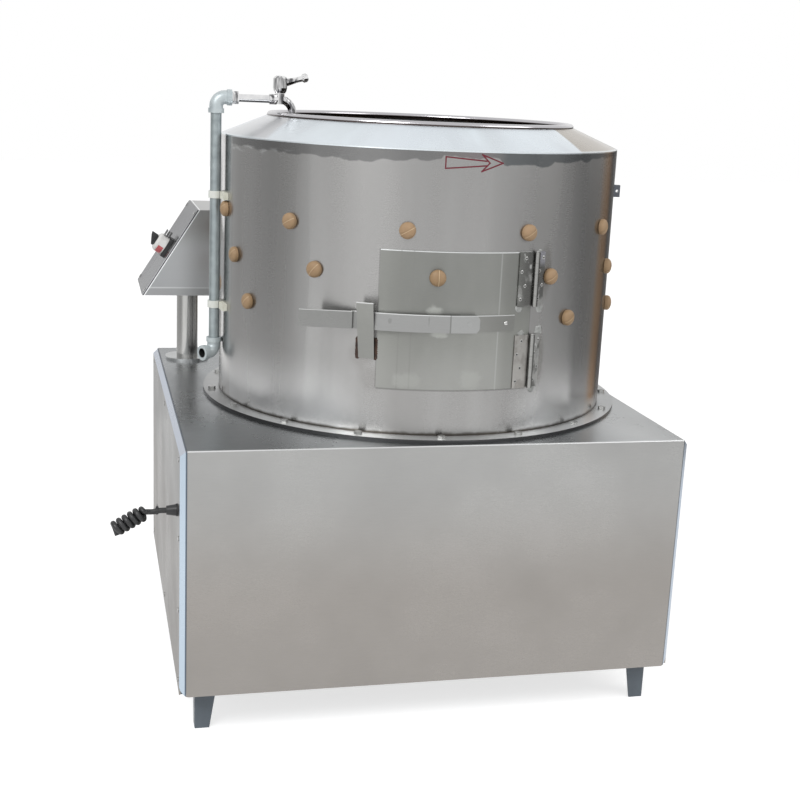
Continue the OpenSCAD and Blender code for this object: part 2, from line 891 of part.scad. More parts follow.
// A curved bar with a rounded end, and a flat handle that steps out and away from the drum
module latch_bar() {
    end_r = bar_w / 2 + 5;
    end_a = latch_a + arc_a(end_r + 2);
    lap = 3;
    inset = 0.3;
    run = handle_l * cos(handle_kick);
    rise = handle_l * sin(handle_kick);
    side = bar_t * sin(handle_kick);
    face = bar_t * cos(handle_kick);
    fold = face - (bar_t - side) * tan(handle_kick);
    handle = [[inset, lap], [inset, -bar_t], [handle_step, -bar_t], [handle_step + rise, -bar_t - run],
        [handle_step + rise + face, side - bar_t - run], [handle_step + fold, 0], [bar_t - inset, 0],
        [bar_t - inset, lap]];
    color("gainsboro")
        difference() {
            union() {
                wall_arc(bar_r, bar_r + bar_t, handle_a, end_a, bar_z, bar_z + bar_w);
                translate([drum_x, drum_y, bar_z + 0.05])
                    rotate([0, 0, handle_a - 90])
                        translate([bar_r, 0, 0])
                            linear_extrude(bar_w - 0.1)
                                polygon(handle);
            }
            on_wall(latch_a, latch_z, bar_r - cut) {
                cylinder(d = latch_pin_d + 2 * run_fit, h = bar_t + 2 * cut);
                difference() {
                    translate([-bar_w / 2 - cut, 0, -cut])
                        cube([bar_w + 2 * cut, bar_w, bar_t + 4 * cut]);
                    translate([0, 0, -2 * cut])
                        cylinder(r = end_r, h = bar_t + 6 * cut);
                }
            }
        }
}

// A leaning hook: its foot is welded to the drum and the latch bar drops in from above
module latch_keeper() {
    half_a = arc_a(keeper_w) / 2;
    foot_r = drum_r + 0.1;
    slot_r = bar_r + bar_t + 2 * clear;
    shelf_z = bar_z - seam;
    lower_z = shelf_z - keeper_foot;
    upper_z = bar_z + keeper_rise;
    lean = (slot_r - foot_r) / (shelf_z - lower_z);
    upper_r = slot_r + lean * (upper_z - shelf_z);
    color("gainsboro")
        translate([drum_x, drum_y, 0])
            rotate([0, 0, keeper_a - half_a - 90])
                rotate_extrude(angle = 2 * half_a)
                    polygon([[foot_r, lower_z], [foot_r + strap_t, lower_z], [upper_r + strap_t, upper_z],
                        [upper_r, upper_z], [slot_r, shelf_z], [foot_r, shelf_z]]);
}

// Feather plate and drive

module plate_finger_places() {
    for (ring = plate_rings, i = [0:ring[1] - 1])
        rotate([0, 0, (i + 0.5) * 360 / ring[1]])
            translate([ring[0], 0, 0])
                children();
}

module feather_plate() {
    color("lightgray")
        translate([drum_x, drum_y, plate_bottom])
            difference() {
                cylinder(r = plate_r, h = plate_t);
                translate([0, 0, -cut])
                    cylinder(d = shaft_d + 2 * seam, h = plate_t + 2 * cut);
                plate_finger_places()
                    translate([0, 0, -cut])
                        cylinder(d = neck_d + clear, h = plate_t + 2 * cut);
            }
}

module plate_fingers() {
    color("burlywood")
        translate([drum_x, drum_y, plate_bottom])
            plate_finger_places()
                mirror([0, 0, 1])
                    finger(plate_t);
}

module plate_hub() {
    color("dimgray")
        translate([drum_x, drum_y, plate_bottom - hub_h])
            difference() {
                union() {
                    cylinder(r = hub_boss_r, h = hub_h);
                    translate([0, 0, hub_h - hub_flange_t])
                        cylinder(r = hub_flange_r, h = hub_flange_t);
                }
                translate([0, 0, -cut])
                    cylinder(d = shaft_d + 2 * run_fit, h = hub_h + 2 * cut);
            }
}

module main_shaft() {
    color("darkgray")
        translate([drum_x, drum_y, shaft_bottom])
            cylinder(d = shaft_d, h = plate_bottom + plate_t - shaft_bottom);
}

module shaft_nut() {
    color("silver")
        translate([drum_x, drum_y, plate_bottom + plate_t]) {
            cylinder(d = shaft_d + 2 * washer_w, h = washer_t);
            translate([0, 0, washer_t])
                cylinder(d = shaft_d + nut_w, h = nut_h, $fn = 6);
        }
}

module bearing_housing() {
    seat_r = bearing_d / 2 + run_fit;
    height = housing_top - housing_z;
    color("dimgray")
        translate([drum_x, drum_y, 0])
            difference() {
                union() {
                    translate([0, 0, housing_z])
                        cylinder(r = housing_r, h = height);
                    translate([-housing_flange_w / 2, -housing_flange_w / 2, beam_z + tube_w])
                        cube([housing_flange_w, housing_flange_w, housing_flange_t]);
                }
                translate([0, 0, housing_z - cut])
                    cylinder(r = seat_r, h = bearing_w + cut);
                translate([0, 0, housing_z + cut])
                    cylinder(r = bearing_d / 2 - 6, h = height);
                translate([0, 0, housing_top - bearing_w])
                    cylinder(r = seat_r, h = bearing_w + cut);
            }
}

// A sealed ball bearing, with the groove between its rings on both faces
module ball_bearing() {
    groove_in = shaft_d / 2 + 5;
    groove_out = bearing_d / 2 - 6;
    bore_r = shaft_d / 2 + run_fit;
    rotate_extrude()
        polygon([[bore_r, 0], [groove_in, 0], [groove_in, 1.5], [groove_out, 1.5], [groove_out, 0],
            [bearing_d / 2, 0], [bearing_d / 2, bearing_w], [groove_out, bearing_w],
            [groove_out, bearing_w - 1.5], [groove_in, bearing_w - 1.5],
            [groove_in, bearing_w], [bore_r, bearing_w]]);
}

module upper_bearing() {
    color("silver")
        translate([drum_x, drum_y, housing_top - bearing_w])
            ball_bearing();
}

module lower_bearing() {
    color("silver")
        translate([drum_x, drum_y, housing_z])
            ball_bearing();
}

// A pulley with two belt grooves and a plain bore
module pulley(d, bore) {
    r = d / 2;
    lip = (pulley_h - belt_step - belt_w) / 2;
    grooves = [
        for (i = [0, 1], p = [[0, 0], [1.5, groove_depth], [belt_w - 1.5, groove_depth], [belt_w, 0]])
            [r - p[1], lip + i * belt_step + p[0]]
    ];
    rotate_extrude()
        polygon(concat([[bore / 2, 0], [r, 0]], grooves, [[r, pulley_h], [bore / 2, pulley_h]]));
}

module driven_pulley() {
    web_in = shaft_d / 2 + 25;
    web_out = driven_d / 2 - groove_depth - 12;
    web_t = 12;
    color("dimgray")
        translate([drum_x, drum_y, pulley_z])
            difference() {
                pulley(driven_d, shaft_d + 2 * run_fit);
                for (z = [-cut, (pulley_h + web_t) / 2])
                    translate([0, 0, z])
                        difference() {
                            cylinder(r = web_out, h = (pulley_h - web_t) / 2 + cut);
                            translate([0, 0, -cut])
                                cylinder(r = web_in, h = pulley_h);
                        }
            }
}

module motor_pulley() {
    color("dimgray")
        translate([motor_x, drum_y, pulley_z])
            pulley(motor_pulley_d, motor_shaft_d + 2 * run_fit);
}

// The outline of a belt run round both pulleys at a distance from their rims
module belt_outline(inset) {
    r1 = driven_d / 2 - inset;
    r2 = motor_pulley_d / 2 - inset;
    lean = asin((r1 - r2) / centres);
    touch = [[sin(lean), cos(lean)], [sin(lean), -cos(lean)]];
    translate([drum_x, drum_y])
        circle(r = r1);
    translate([motor_x, drum_y])
        circle(r = r2);
    polygon([
        for (p = [[drum_x, r1, 0], [motor_x, r2, 0], [motor_x, r2, 1], [drum_x, r1, 1]])
            [p[0] - touch[p[2]][0] * p[1], drum_y + touch[p[2]][1] * p[1]]
    ]);
}

module drive_belts() {
    lip = (pulley_h - belt_step - belt_w) / 2;
    side = 2.2;
    color([0.12, 0.12, 0.12])
        for (i = [0, 1])
            translate([0, 0, pulley_z + lip + i * belt_step + side])
                linear_extrude(belt_w - 2 * side)
                    difference() {
                        belt_outline(groove_depth - clear - belt_t);
                        belt_outline(groove_depth - clear);
                    }
}

module motor_shaft() {
    color("silver")
        translate([motor_x, drum_y, pulley_z])
            cylinder(d = motor_shaft_d, h = beam_z + motor_l / 2 - pulley_z);
}

module motor_body() {
    fins = 20;
    fin_h = 9;
    color("steelblue")
        translate([motor_x, drum_y, beam_z])
            difference() {
                union() {
                    cylinder(d = motor_d, h = motor_l);
                    cylinder(d = motor_d + 2 * fin_h, h = 14);
                    for (i = [0:fins - 1])
                        rotate([0, 0, (i + 0.5) * 360 / fins])
                            translate([motor_d / 2 - 3, -1.5, 20])
                                cube([fin_h + 3, 3, motor_l - 26]);
                }
                translate([0, 0, -cut])
                    cylinder(d = motor_shaft_d + 2 * run_fit, h = motor_l / 2 + cut);
                translate([0, 0, motor_l / 2 - cut])
                    cylinder(d = motor_shaft_d + 4, h = 6);
            }
}

module motor_fan_cover() {
    cover_h = 34;
    color("steelblue")
        translate([motor_x, drum_y, beam_z + motor_l])
            difference() {
                cylinder(d = motor_d, h = cover_h);
                translate([0, 0, -cut])
                    cylinder(d = motor_d - 4, h = cover_h - 2 + cut);
                for (r = [18, 32, 46], a = [0:30:330])
                    rotate([0, 0, a])
                        translate([r, 0, cover_h - 4])
                            cylinder(d = 6, h = 6);
            }
}

module motor_plate() {
    width = 2 * beam_y + tube_w;
    length = motor_d + 60;
    color("slategray")
        translate([motor_x, drum_y, beam_z - motor_plate_t])
            difference() {
                translate([-length / 2, -width / 2, 0])
                    cube([length, width, motor_plate_t]);
                translate([0, 0, -cut])
                    cylinder(d = motor_shaft_d + 16, h = motor_plate_t + 2 * cut);
            }
}

// Everything above the sloped floor of the pan, raised by a given height
module above_floor(raise) {
    size = 4 * drum_d;
    translate([0, drum_y - pan_r, pan_front_z + raise])
        rotate([-pan_slope, 0, 0])
            translate([-size / 2, -size / 2, 0])
                cube([size, size, size]);
}

// The space of the chute, from the drum's axis to behind the rear panel
module chute_space(grow, back) {
    translate([drum_x - outlet_w / 2 - grow, drum_y, cab_bottom])
        cube([outlet_w + 2 * grow, back, outlet_z + outlet_h + grow - cab_bottom]);
}

module pan_wall() {
    height = cab_top - sheet_t - cab_bottom;
    color("silver")
        difference() {
            intersection() {
                translate([drum_x, drum_y, cab_bottom])
                    difference() {
                        cylinder(r = pan_r, h = height);
                        translate([0, 0, -cut])
                            cylinder(r = pan_r - sheet_t, h = height + 2 * cut);
                    }
                above_floor(0);
            }
            chute_space(sheet_t + seam, cab_d);
        }
}

// A sloping floor with a sleeve round the hub, and a chute to the rear panel
module feather_pan() {
    rear = cab_d / 2 - sheet_t - seam;
    sleeve_top = plate_bottom - hub_flange_t - sleeve_gap;
    color("silver")
        difference() {
            union() {
                difference() {
                    intersection() {
                        union() {
                            translate([drum_x, drum_y, cab_bottom])
                                cylinder(r = pan_r, h = cab_top - cab_bottom);
                            chute_space(sheet_t, rear);
                        }
                        above_floor(-sheet_t);
                    }
                    above_floor(0);
                }
                difference() {
                    intersection() {
                        chute_space(sheet_t, rear);
                        above_floor(-sheet_t / 2);
                    }
                    chute_space(0, cab_d);
                    translate([drum_x, drum_y, cab_bottom])
                        cylinder(r = pan_r - sheet_t, h = cab_top);
                }
                intersection() {
                    translate([drum_x, drum_y, cab_bottom])
                        cylinder(r = sleeve_r, h = sleeve_top - cab_bottom);
                    above_floor(-sheet_t / 2);
                }
            }
            translate([drum_x, drum_y, cab_bottom])
                cylinder(r = sleeve_r - sleeve_t, h = cab_top);
        }
}

// Water line

// A pipe elbow whose two axes cross at the origin: a plain socket up +Z and a tapped one along +X
module elbow(tap_r, tap_l) {
    bore_r = pipe_r - pipe_t;
    difference() {
        union() {
            translate([elbow_bend, 0, elbow_bend])
                rotate([90, 0, 0])
                    rotate([0, 0, 180])
                        rotate_extrude(angle = 90)
                            translate([elbow_bend, 0])
                                circle(r = elbow_r);
            translate([0, 0, elbow_bend])
                cylinder(r = elbow_r, h = socket_l);
            translate([0, 0, elbow_leg - collar_l])
                cylinder(r = collar_r, h = collar_l);
            translate([elbow_bend, 0, 0])
                rotate([0, 90, 0])
                    cylinder(r = elbow_r, h = socket_l);
            translate([elbow_leg - collar_l, 0, 0])
                rotate([0, 90, 0])
                    cylinder(r = collar_r, h = collar_l);
        }
        translate([elbow_bend, 0, elbow_bend])
            rotate([90, 0, 0])
                rotate([0, 0, 180])
                    rotate_extrude(angle = 90)
                        translate([elbow_bend, 0])
                            circle(r = bore_r);
        translate([0, 0, elbow_bend])
            cylinder(r = pipe_r + seam / 2, h = socket_l + cut);
        translate([elbow_leg - tap_l, 0, 0])
            rotate([0, 90, 0])
                cylinder(r = tap_r, h = tap_l + cut);
    }
}

module riser_pipe() {
    lower = inlet_axis_z + elbow_bend;
    upper = tap_axis_z - elbow_bend;
    color("lightslategray")
        translate([riser_x, riser_y, lower])
            difference() {
                cylinder(r = pipe_r, h = upper - lower);
                translate([0, 0, -cut])
                    cylinder(r = pipe_r - pipe_t, h = upper - lower + 2 * cut);
            }
}

module lower_elbow() {
    color("lightslategray")
        translate([riser_x, riser_y, inlet_axis_z])
            rotate([0, 0, inlet_a - 90])
                elbow(inlet_d / 2, inlet_l);
}

module upper_elbow() {
    color("lightslategray")
        translate([riser_x, riser_y, tap_axis_z])
            mirror([0, 0, 1])
                elbow(inlet_d / 2, inlet_l);
}

// Two saddle clips hold the riser against the drum: a ring, a block and two ears on the wall
// A ring round the riser, tied to a block on the drum wall by a thin strap
module pipe_clips() {
    clip_h = 14;
    clip_t = 3;
    strap_h = 2.2;
    block_h = 9;
    ring_r = pipe_r + clip_t;
    color("ivory")
        for (z = clip_heights)
            difference() {
                union() {
                    wall_arc(drum_r + seam / 2, drum_r + strap_h,
                        riser_a - arc_a(ring_r), riser_a + arc_a(clip_ear_l - 1), z + 1, z + clip_h - 1);
                    wall_arc(drum_r + seam, drum_r + block_h,
                        riser_a + arc_a(ring_r + 2), riser_a + arc_a(clip_ear_l), z, z + clip_h);
                    translate([drum_x, drum_y, z])
                        rotate([0, 0, riser_a - 90]) {
                            translate([riser_r, 0, 0])
                                cylinder(r = ring_r, h = clip_h);
                            translate([drum_r + seam, -ring_r + 1, 0])
                                cube([riser_r - drum_r - clip_t, 2 * ring_r - 2, clip_h]);
                        }
                }
                translate([riser_x, riser_y, z - cut])
                    cylinder(r = pipe_r + seam / 2, h = clip_h + 2 * cut);
            }
}

// The tap's parts lie along +X from the upper elbow's mouth
module tap_bush() {
    thread_r = inlet_d / 2 - seam;
    color("silver")
        translate([riser_x + elbow_leg - inlet_l + 2, riser_y, tap_axis_z])
            rotate([0, 90, 0])
                difference() {
                    union() {
                        cylinder(r = thread_r, h = inlet_l - 2);
                        translate([0, 0, inlet_l - 2])
                            cylinder(d = 24, h = bush_l, $fn = 6);
                    }
                    translate([0, 0, -cut])
                        cylinder(r = tap_pipe_d / 2 + seam / 2, h = inlet_l + bush_l);
                }
}

module tap_pipe() {
    start = riser_x + elbow_leg;
    end = tap_x - tap_neck_r - 8;
    color("silver")
        translate([start, riser_y, tap_axis_z])
            rotate([0, 90, 0])
                difference() {
                    cylinder(d = tap_pipe_d, h = end - start);
                    translate([0, 0, -cut])
                        cylinder(d = tap_pipe_d - 4, h = end - start + 2 * cut);
                }
}

// The tap body: an inlet boss, an upright neck and a spout that bends down into the drum
module tap_body() {
    boss_l = 14;
    end = tap_x - tap_neck_r - 8;
    color("whitesmoke")
        difference() {
            union() {
                translate([end - 4, riser_y, tap_axis_z])
                    rotate([0, 90, 0])
                        cylinder(d = tap_pipe_d + 5, h = boss_l);
                translate([end, riser_y, tap_axis_z])
                    rotate([0, 90, 0])
                        cylinder(d = spout_d, h = tap_x - end);
                translate([tap_x, riser_y, tap_axis_z - tap_neck_r])
                    cylinder(r = tap_neck_r, h = bonnet_z - clear - tap_axis_z + tap_neck_r);
                translate([tap_x, riser_y, tap_axis_z - spout_bend])
                    rotate([90, 0, 0])
                        rotate_extrude(angle = 90)
                            translate([spout_bend, 0])
                                circle(d = spout_d);
                translate([tap_x + spout_bend, riser_y, tap_axis_z - spout_bend - 5])
                    cylinder(d = spout_d, h = 5);
            }
            translate([tap_x, riser_y, tap_axis_z - spout_bend])
                rotate([90, 0, 0])
                    rotate_extrude(angle = 90)
                        translate([spout_bend, 0])
                            circle(d = spout_d - 5);
            translate([tap_x + spout_bend, riser_y, tap_axis_z - spout_bend - 5 - cut])
                cylinder(d = spout_d - 5, h = 5 + cut);
            translate([end - 4 - cut, riser_y, tap_axis_z])
                rotate([0, 90, 0])
                    cylinder(d = tap_pipe_d + seam, h = 4 + cut);
        }
}

// The bonnet turns on the neck with its lever
module tap_lever() {
    bonnet_r = bonnet_d / 2;
    arm_z = bonnet_h - 13;
    arm_start = bonnet_r - 4;
    arm_l = (lever_l - arm_start) / cos(lever_rise);
    color("whitesmoke")
        translate([tap_x, riser_y, bonnet_z])
            union() {
                rotate_extrude()
                    polygon([[0, 0], [bonnet_r - 4, 0], [bonnet_r - 1, 5], [bonnet_r, 10],
                        [bonnet_r, bonnet_h - 5], [bonnet_r - 2, bonnet_h - 2],
                        [bonnet_r - 6, bonnet_h], [0, bonnet_h]]);
                translate([arm_start, 0, arm_z])
                    rotate([0, 90 - lever_rise, 0])
                        rotate_extrude()
                            polygon([[0, -2], [7.5, -2], [5.2, 0.6 * arm_l], [5.5, arm_l - 6],
                                [8.5, arm_l - 3], [8.5, arm_l + 3], [6, arm_l + 6], [0, arm_l + 6]]);
            }
}

// Control post and box

module control_post() {
    color("lightgray")
        translate([post_cx, post_cy, cab_top + post_flange_t])
            difference() {
                cylinder(d = post_d, h = post_h - post_flange_t);
                translate([0, 0, -cut])
                    cylinder(d = post_d - 2 * post_t, h = post_h + 2 * cut);
            }
}

module post_flange() {
    color("silver")
        translate([post_cx, post_cy, cab_top])
            difference() {
                cylinder(d = post_flange_d, h = post_flange_t);
                translate([0, 0, -cut])
                    cylinder(d = post_d - 2 * post_t, h = post_flange_t + 2 * cut);
            }
}

// A wedge: its sloped side is open, and the cover closes it
module control_box() {
    run = slope_run * box_t / box_h;
    width = box_left + box_right;
    inner_w = width - box_t;
    inner_h = box_h - box_t;
    color("silver")
        translate([box_x, box_y + box_d, box_z])
            rotate([90, 0, 0])
                difference() {
                    linear_extrude(box_d)
                        polygon([[0, 0], [slope_run, box_h], [width, box_h], [width, 0]]);
                    translate([0, 0, box_t])
                        linear_extrude(box_d - 2 * box_t)
                            polygon([[run - cut, box_t], [slope_run - run - cut, inner_h],
                                [inner_w, inner_h], [inner_w, box_t]]);
                    translate([box_left, -cut, box_d / 2])
                        rotate([-90, 0, 0])
                            cylinder(d = post_d - 2 * post_t, h = box_t + 2 * cut);
                }
}

// Sets its children on the sloped cover: +X up the slope, +Y to the back, +Z straight out
module on_slope(along, across, out) {
    translate([box_x, post_cy, box_z])
        rotate([0, -slope_a, 0])
            translate([along, across, out])
                children();
}

screw_in = 11;
cover_screw_places = [
    for (along = [screw_in, slope_l - screw_in], side = [-1, 1])
        [along, side * (box_d / 2 - screw_in / 2 - 4)]
];

module control_cover() {
    color("lightgray")
        difference() {
            on_slope(0, -box_d / 2, 0)
                cube([slope_l, box_d, box_t]);
            for (p = cover_screw_places)
                on_slope(p[0], p[1], 0)
                    translate([0, 0, -cut])
                        cylinder(d = screw_d + 2 * seam, h = box_t + 2 * cut);
            on_slope(switch_along, switch_across, -cut)
                cylinder(d = switch_d / 2, h = box_t + 2 * cut);
        }
}

module cover_screws() {
    color("silver")
        for (p = cover_screw_places)
            on_slope(p[0], p[1], box_t)
                panel_screw(box_t);
}

module switch_base() {
    color([0.1, 0.1, 0.1])
        on_slope(switch_along, switch_across, box_t)
            translate([-switch_w / 2, -switch_w / 2, 0])
                cube([switch_w, switch_w, switch_base_h]);
}

module switch_body() {
    taper = 5;
    color("white")
        on_slope(switch_along, switch_across, box_t + switch_base_h)
            difference() {
                union() {
                    cylinder(d = switch_d, h = switch_h - taper);
                    translate([0, 0, switch_h - taper])
                        cylinder(d1 = switch_d, d2 = switch_d - 8, h = taper);
                }
                translate([0, 0, switch_h - 8])
                    cylinder(d = knob_stem_d + 2 * run_fit, h = 10);
            }
}

// A pointer knob: a disc on a stem, with a beak that is highest up the slope
module switch_knob() {
    beak_w = 9;
    front = knob_l / 2;
    color([0.1, 0.1, 0.1])
        on_slope(switch_along, switch_across, box_t + switch_base_h + switch_h) {
            translate([0, 0, -7.5])
                cylinder(d = knob_stem_d, h = 9);
            translate([0, 0, clear])
                cylinder(d = 22, h = 3);
            translate([0, beak_w / 2, 0])
                rotate([90, 0, 0])
                    linear_extrude(beak_w)
                        polygon([[-front, 1.5], [-front, 5], [front - 7, 15], [front, 17], [front, 1.5]]);
        }
}

// Power cord

module cord_gland() {
    bore = cord_d + seam;
    color([0.08, 0.08, 0.08])
        translate([gland_x, cord_start[1], cord_z])
            rotate([0, -90, 0])
                difference() {
                    union() {
                        cylinder(d = cord_d + 13, h = gland_flange_t);
                        cylinder(d1 = cord_d + 12, d2 = cord_d + 6, h = gland_l);
                        translate([0, 0, -sheet_t - 2])
                            cylinder(d = cord_d + 5.4, h = sheet_t + 2);
                    }
                    translate([0, 0, -sheet_t - 2 - cut])
                        cylinder(d = bore, h = gland_l + sheet_t + 2 + 2 * cut);
                }
}

function cord_dir(i) =
    let (d = cord_points[min(i + 1, cord_last)] - cord_points[max(i - 1, 0)])
        d / norm(d);
function cord_ring(i) =
    let (t = cord_dir(i), n0 = curl_axis - t * (curl_axis * t), n = n0 / norm(n0), b = cross(t, n))
        [for (k = [0:cord_sides - 1])
            cord_points[i] + (n * cos(360 * k / cord_sides) + b * sin(360 * k / cord_sides)) * cord_d / 2];
cord_gap = min([
    for (i = [len(cord_lead):cord_last], j = [i + curl_steps / 2 + 1:1:cord_last])
        norm(cord_points[i] - cord_points[j]) - cord_d
]);
echo(cord_least_gap = cord_gap);

module power_cord() {
    rings = [for (i = [0:cord_last]) each cord_ring(i)];
    ends = [cord_points[0], cord_points[cord_last]];
    first_end = len(rings);
    sides = [
        for (i = [0:cord_last - 1], k = [0:cord_sides - 1])
            let (m = (k + 1) % cord_sides, a = i * cord_sides, b = a + cord_sides)
                each [[a + k, a + m, b + m], [a + k, b + m, b + k]]
    ];
    caps = [
        for (k = [0:cord_sides - 1])
            let (m = (k + 1) % cord_sides, last = cord_last * cord_sides)
                each [[m, k, first_end], [last + k, last + m, first_end + 1]]
    ];
    color([0.08, 0.08, 0.08])
        translate(cord_start)
            polyhedron(points = concat(rings, ends), faces = concat(sides, caps));
}

frame_posts();
cross_rails();
side_rails();
bearing_beams();
feet();
front_top_panel();
left_side_panel();
right_side_panel();
rear_panel();
panel_screws();
drum_shell();
drum_flange();
flange_bolts();
cone_cover();
rim_ring();
lifting_lug();
wall_fingers();
door_panel();
door_finger();
door_hinge_leaves();
wall_hinge_leaves();
hinge_pins();
latch_pad();
latch_bar();
latch_keeper();
feather_plate();
plate_fingers();
plate_hub();
main_shaft();
shaft_nut();
bearing_housing();
upper_bearing();
lower_bearing();
driven_pulley();
drive_belts();
motor_pulley();
motor_shaft();
motor_body();
motor_fan_cover();
motor_plate();
pan_wall();
feather_pan();
riser_pipe();
lower_elbow();
upper_elbow();
pipe_clips();
tap_bush();
tap_pipe();
tap_body();
tap_lever();
control_post();
post_flange();
control_box();
control_cover();
cover_screws();
switch_base();
switch_body();
switch_knob();
cord_gland();
power_cord();
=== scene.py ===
# %% [markdown]
# # A drum poultry plucker
# The machine is a steel drum lined with rubber fingers, standing on a sheet steel cabinet.
# Its solids come ready-made from the CAD model, in metres, in one shared frame, and stay as they
# are. Pieces that are added here are placed from the solids' boxes, or by angle and height on the drum.

# %% Load the frame
import json
import random
from math import atan2, cos, degrees, pi, radians, sin

import bpy
from mathutils import Matrix, Vector


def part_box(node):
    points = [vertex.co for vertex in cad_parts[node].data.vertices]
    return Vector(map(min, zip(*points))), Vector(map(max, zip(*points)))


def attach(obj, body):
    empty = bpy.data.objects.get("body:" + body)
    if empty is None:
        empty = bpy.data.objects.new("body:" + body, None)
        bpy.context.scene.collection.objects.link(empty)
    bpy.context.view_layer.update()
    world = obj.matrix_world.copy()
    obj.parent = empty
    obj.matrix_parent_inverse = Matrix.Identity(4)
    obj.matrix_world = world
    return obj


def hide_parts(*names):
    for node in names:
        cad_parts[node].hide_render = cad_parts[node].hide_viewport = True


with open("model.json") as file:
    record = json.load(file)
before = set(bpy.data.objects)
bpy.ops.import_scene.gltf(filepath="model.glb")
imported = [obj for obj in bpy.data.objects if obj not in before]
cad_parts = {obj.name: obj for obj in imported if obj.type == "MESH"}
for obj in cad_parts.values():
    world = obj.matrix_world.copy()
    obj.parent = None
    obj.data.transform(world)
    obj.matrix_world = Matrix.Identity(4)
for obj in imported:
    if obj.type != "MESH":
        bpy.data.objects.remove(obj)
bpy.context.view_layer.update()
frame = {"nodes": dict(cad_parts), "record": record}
scene = bpy.context.scene
solids = frame["nodes"]
MM = 0.001


def add_object(name, data):
    """An object in the scene."""
    thing = bpy.data.objects.new(name, data)
    scene.collection.objects.link(thing)
    return thing


def middle(node):
    """The middle of a solid's box."""
    return [(a + b) / 2 for a, b in zip(*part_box(node))]


# %% [markdown]
# ## The camera
# The view is a standing one: the camera is a little left of the middle and looks down on the
# machine. A small roll is kept, because the picture was taken by hand. Building the rotation
# from three directions is clearer here than three Euler angles.

# %% Camera
CAMERA_AT = Vector((-0.618, -2.6154, 1.1771))
CAMERA_YAW = radians(14.03)
CAMERA_DOWN = radians(13.66)
CAMERA_ROLL = radians(2.58)
CAMERA_LENS = 58.39
CAMERA_SENSOR = 36

ahead = Vector((sin(CAMERA_YAW) * cos(CAMERA_DOWN),
                cos(CAMERA_YAW) * cos(CAMERA_DOWN),
                -sin(CAMERA_DOWN)))
level = Vector((cos(CAMERA_YAW), -sin(CAMERA_YAW), 0))
upright = level.cross(ahead)
right = level * cos(CAMERA_ROLL) + upright * sin(CAMERA_ROLL)
up = upright * cos(CAMERA_ROLL) - level * sin(CAMERA_ROLL)

camera = add_object("camera", bpy.data.cameras.new("camera"))
camera.data.lens = CAMERA_LENS
camera.data.sensor_width = CAMERA_SENSOR
camera.matrix_world = Matrix.Translation(CAMERA_AT) @ Matrix((right, up, -ahead)).transposed().to_4x4()
scene.camera = camera
print("camera at", [round(v, 3) for v in CAMERA_AT])

# %% [markdown]
# ## Places on the machine
# The drum is a cylinder, so most pieces on it are easiest to place by an angle from the front,
# a height and a distance from the drum's axis. One helper turns those three into a point, and
# another into a frame whose Z axis points straight out of the drum.

# %% Places
shell_low, shell_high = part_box("drum_shell")
DRUM_X, DRUM_Y, _ = middle("drum_shell")
DRUM_R = (shell_high.x - shell_low.x) / 2
CAB_TOP = shell_low.z
SEAM_Z = shell_high.z


def on_drum(angle, height, radius):
    """The point at an angle in degrees from the front, a height and a distance from the axis."""
    a = radians(angle)
    return Vector((DRUM_X + radius * sin(a), DRUM_Y - radius * cos(a), height))


def out_of_drum(angle, height, radius):
    """A frame there: Z points out, Y up and X round the drum."""
    a = radians(angle)
    out = Vector((sin(a), -cos(a), 0))
    along = Vector((cos(a), sin(a), 0))
    turn = Matrix((along, Vector((0, 0, 1)), out)).transposed().to_4x4()
    return Matrix.Translation(on_drum(angle, height, radius)) @ turn


print("drum radius", round(DRUM_R, 4), "from", round(CAB_TOP, 3), "to", round(SEAM_Z, 3))

# %% [markdown]
# ## Finishes: the shared helpers
# A finish is a node material. Its colour, roughness and fine relief come from noise measured in
# the machine's own metres, so a grain has the same size on every piece. This class adds nodes to
# a tree, and its methods give back the socket with the result, so that one call can feed the next.

# %% Node helpers


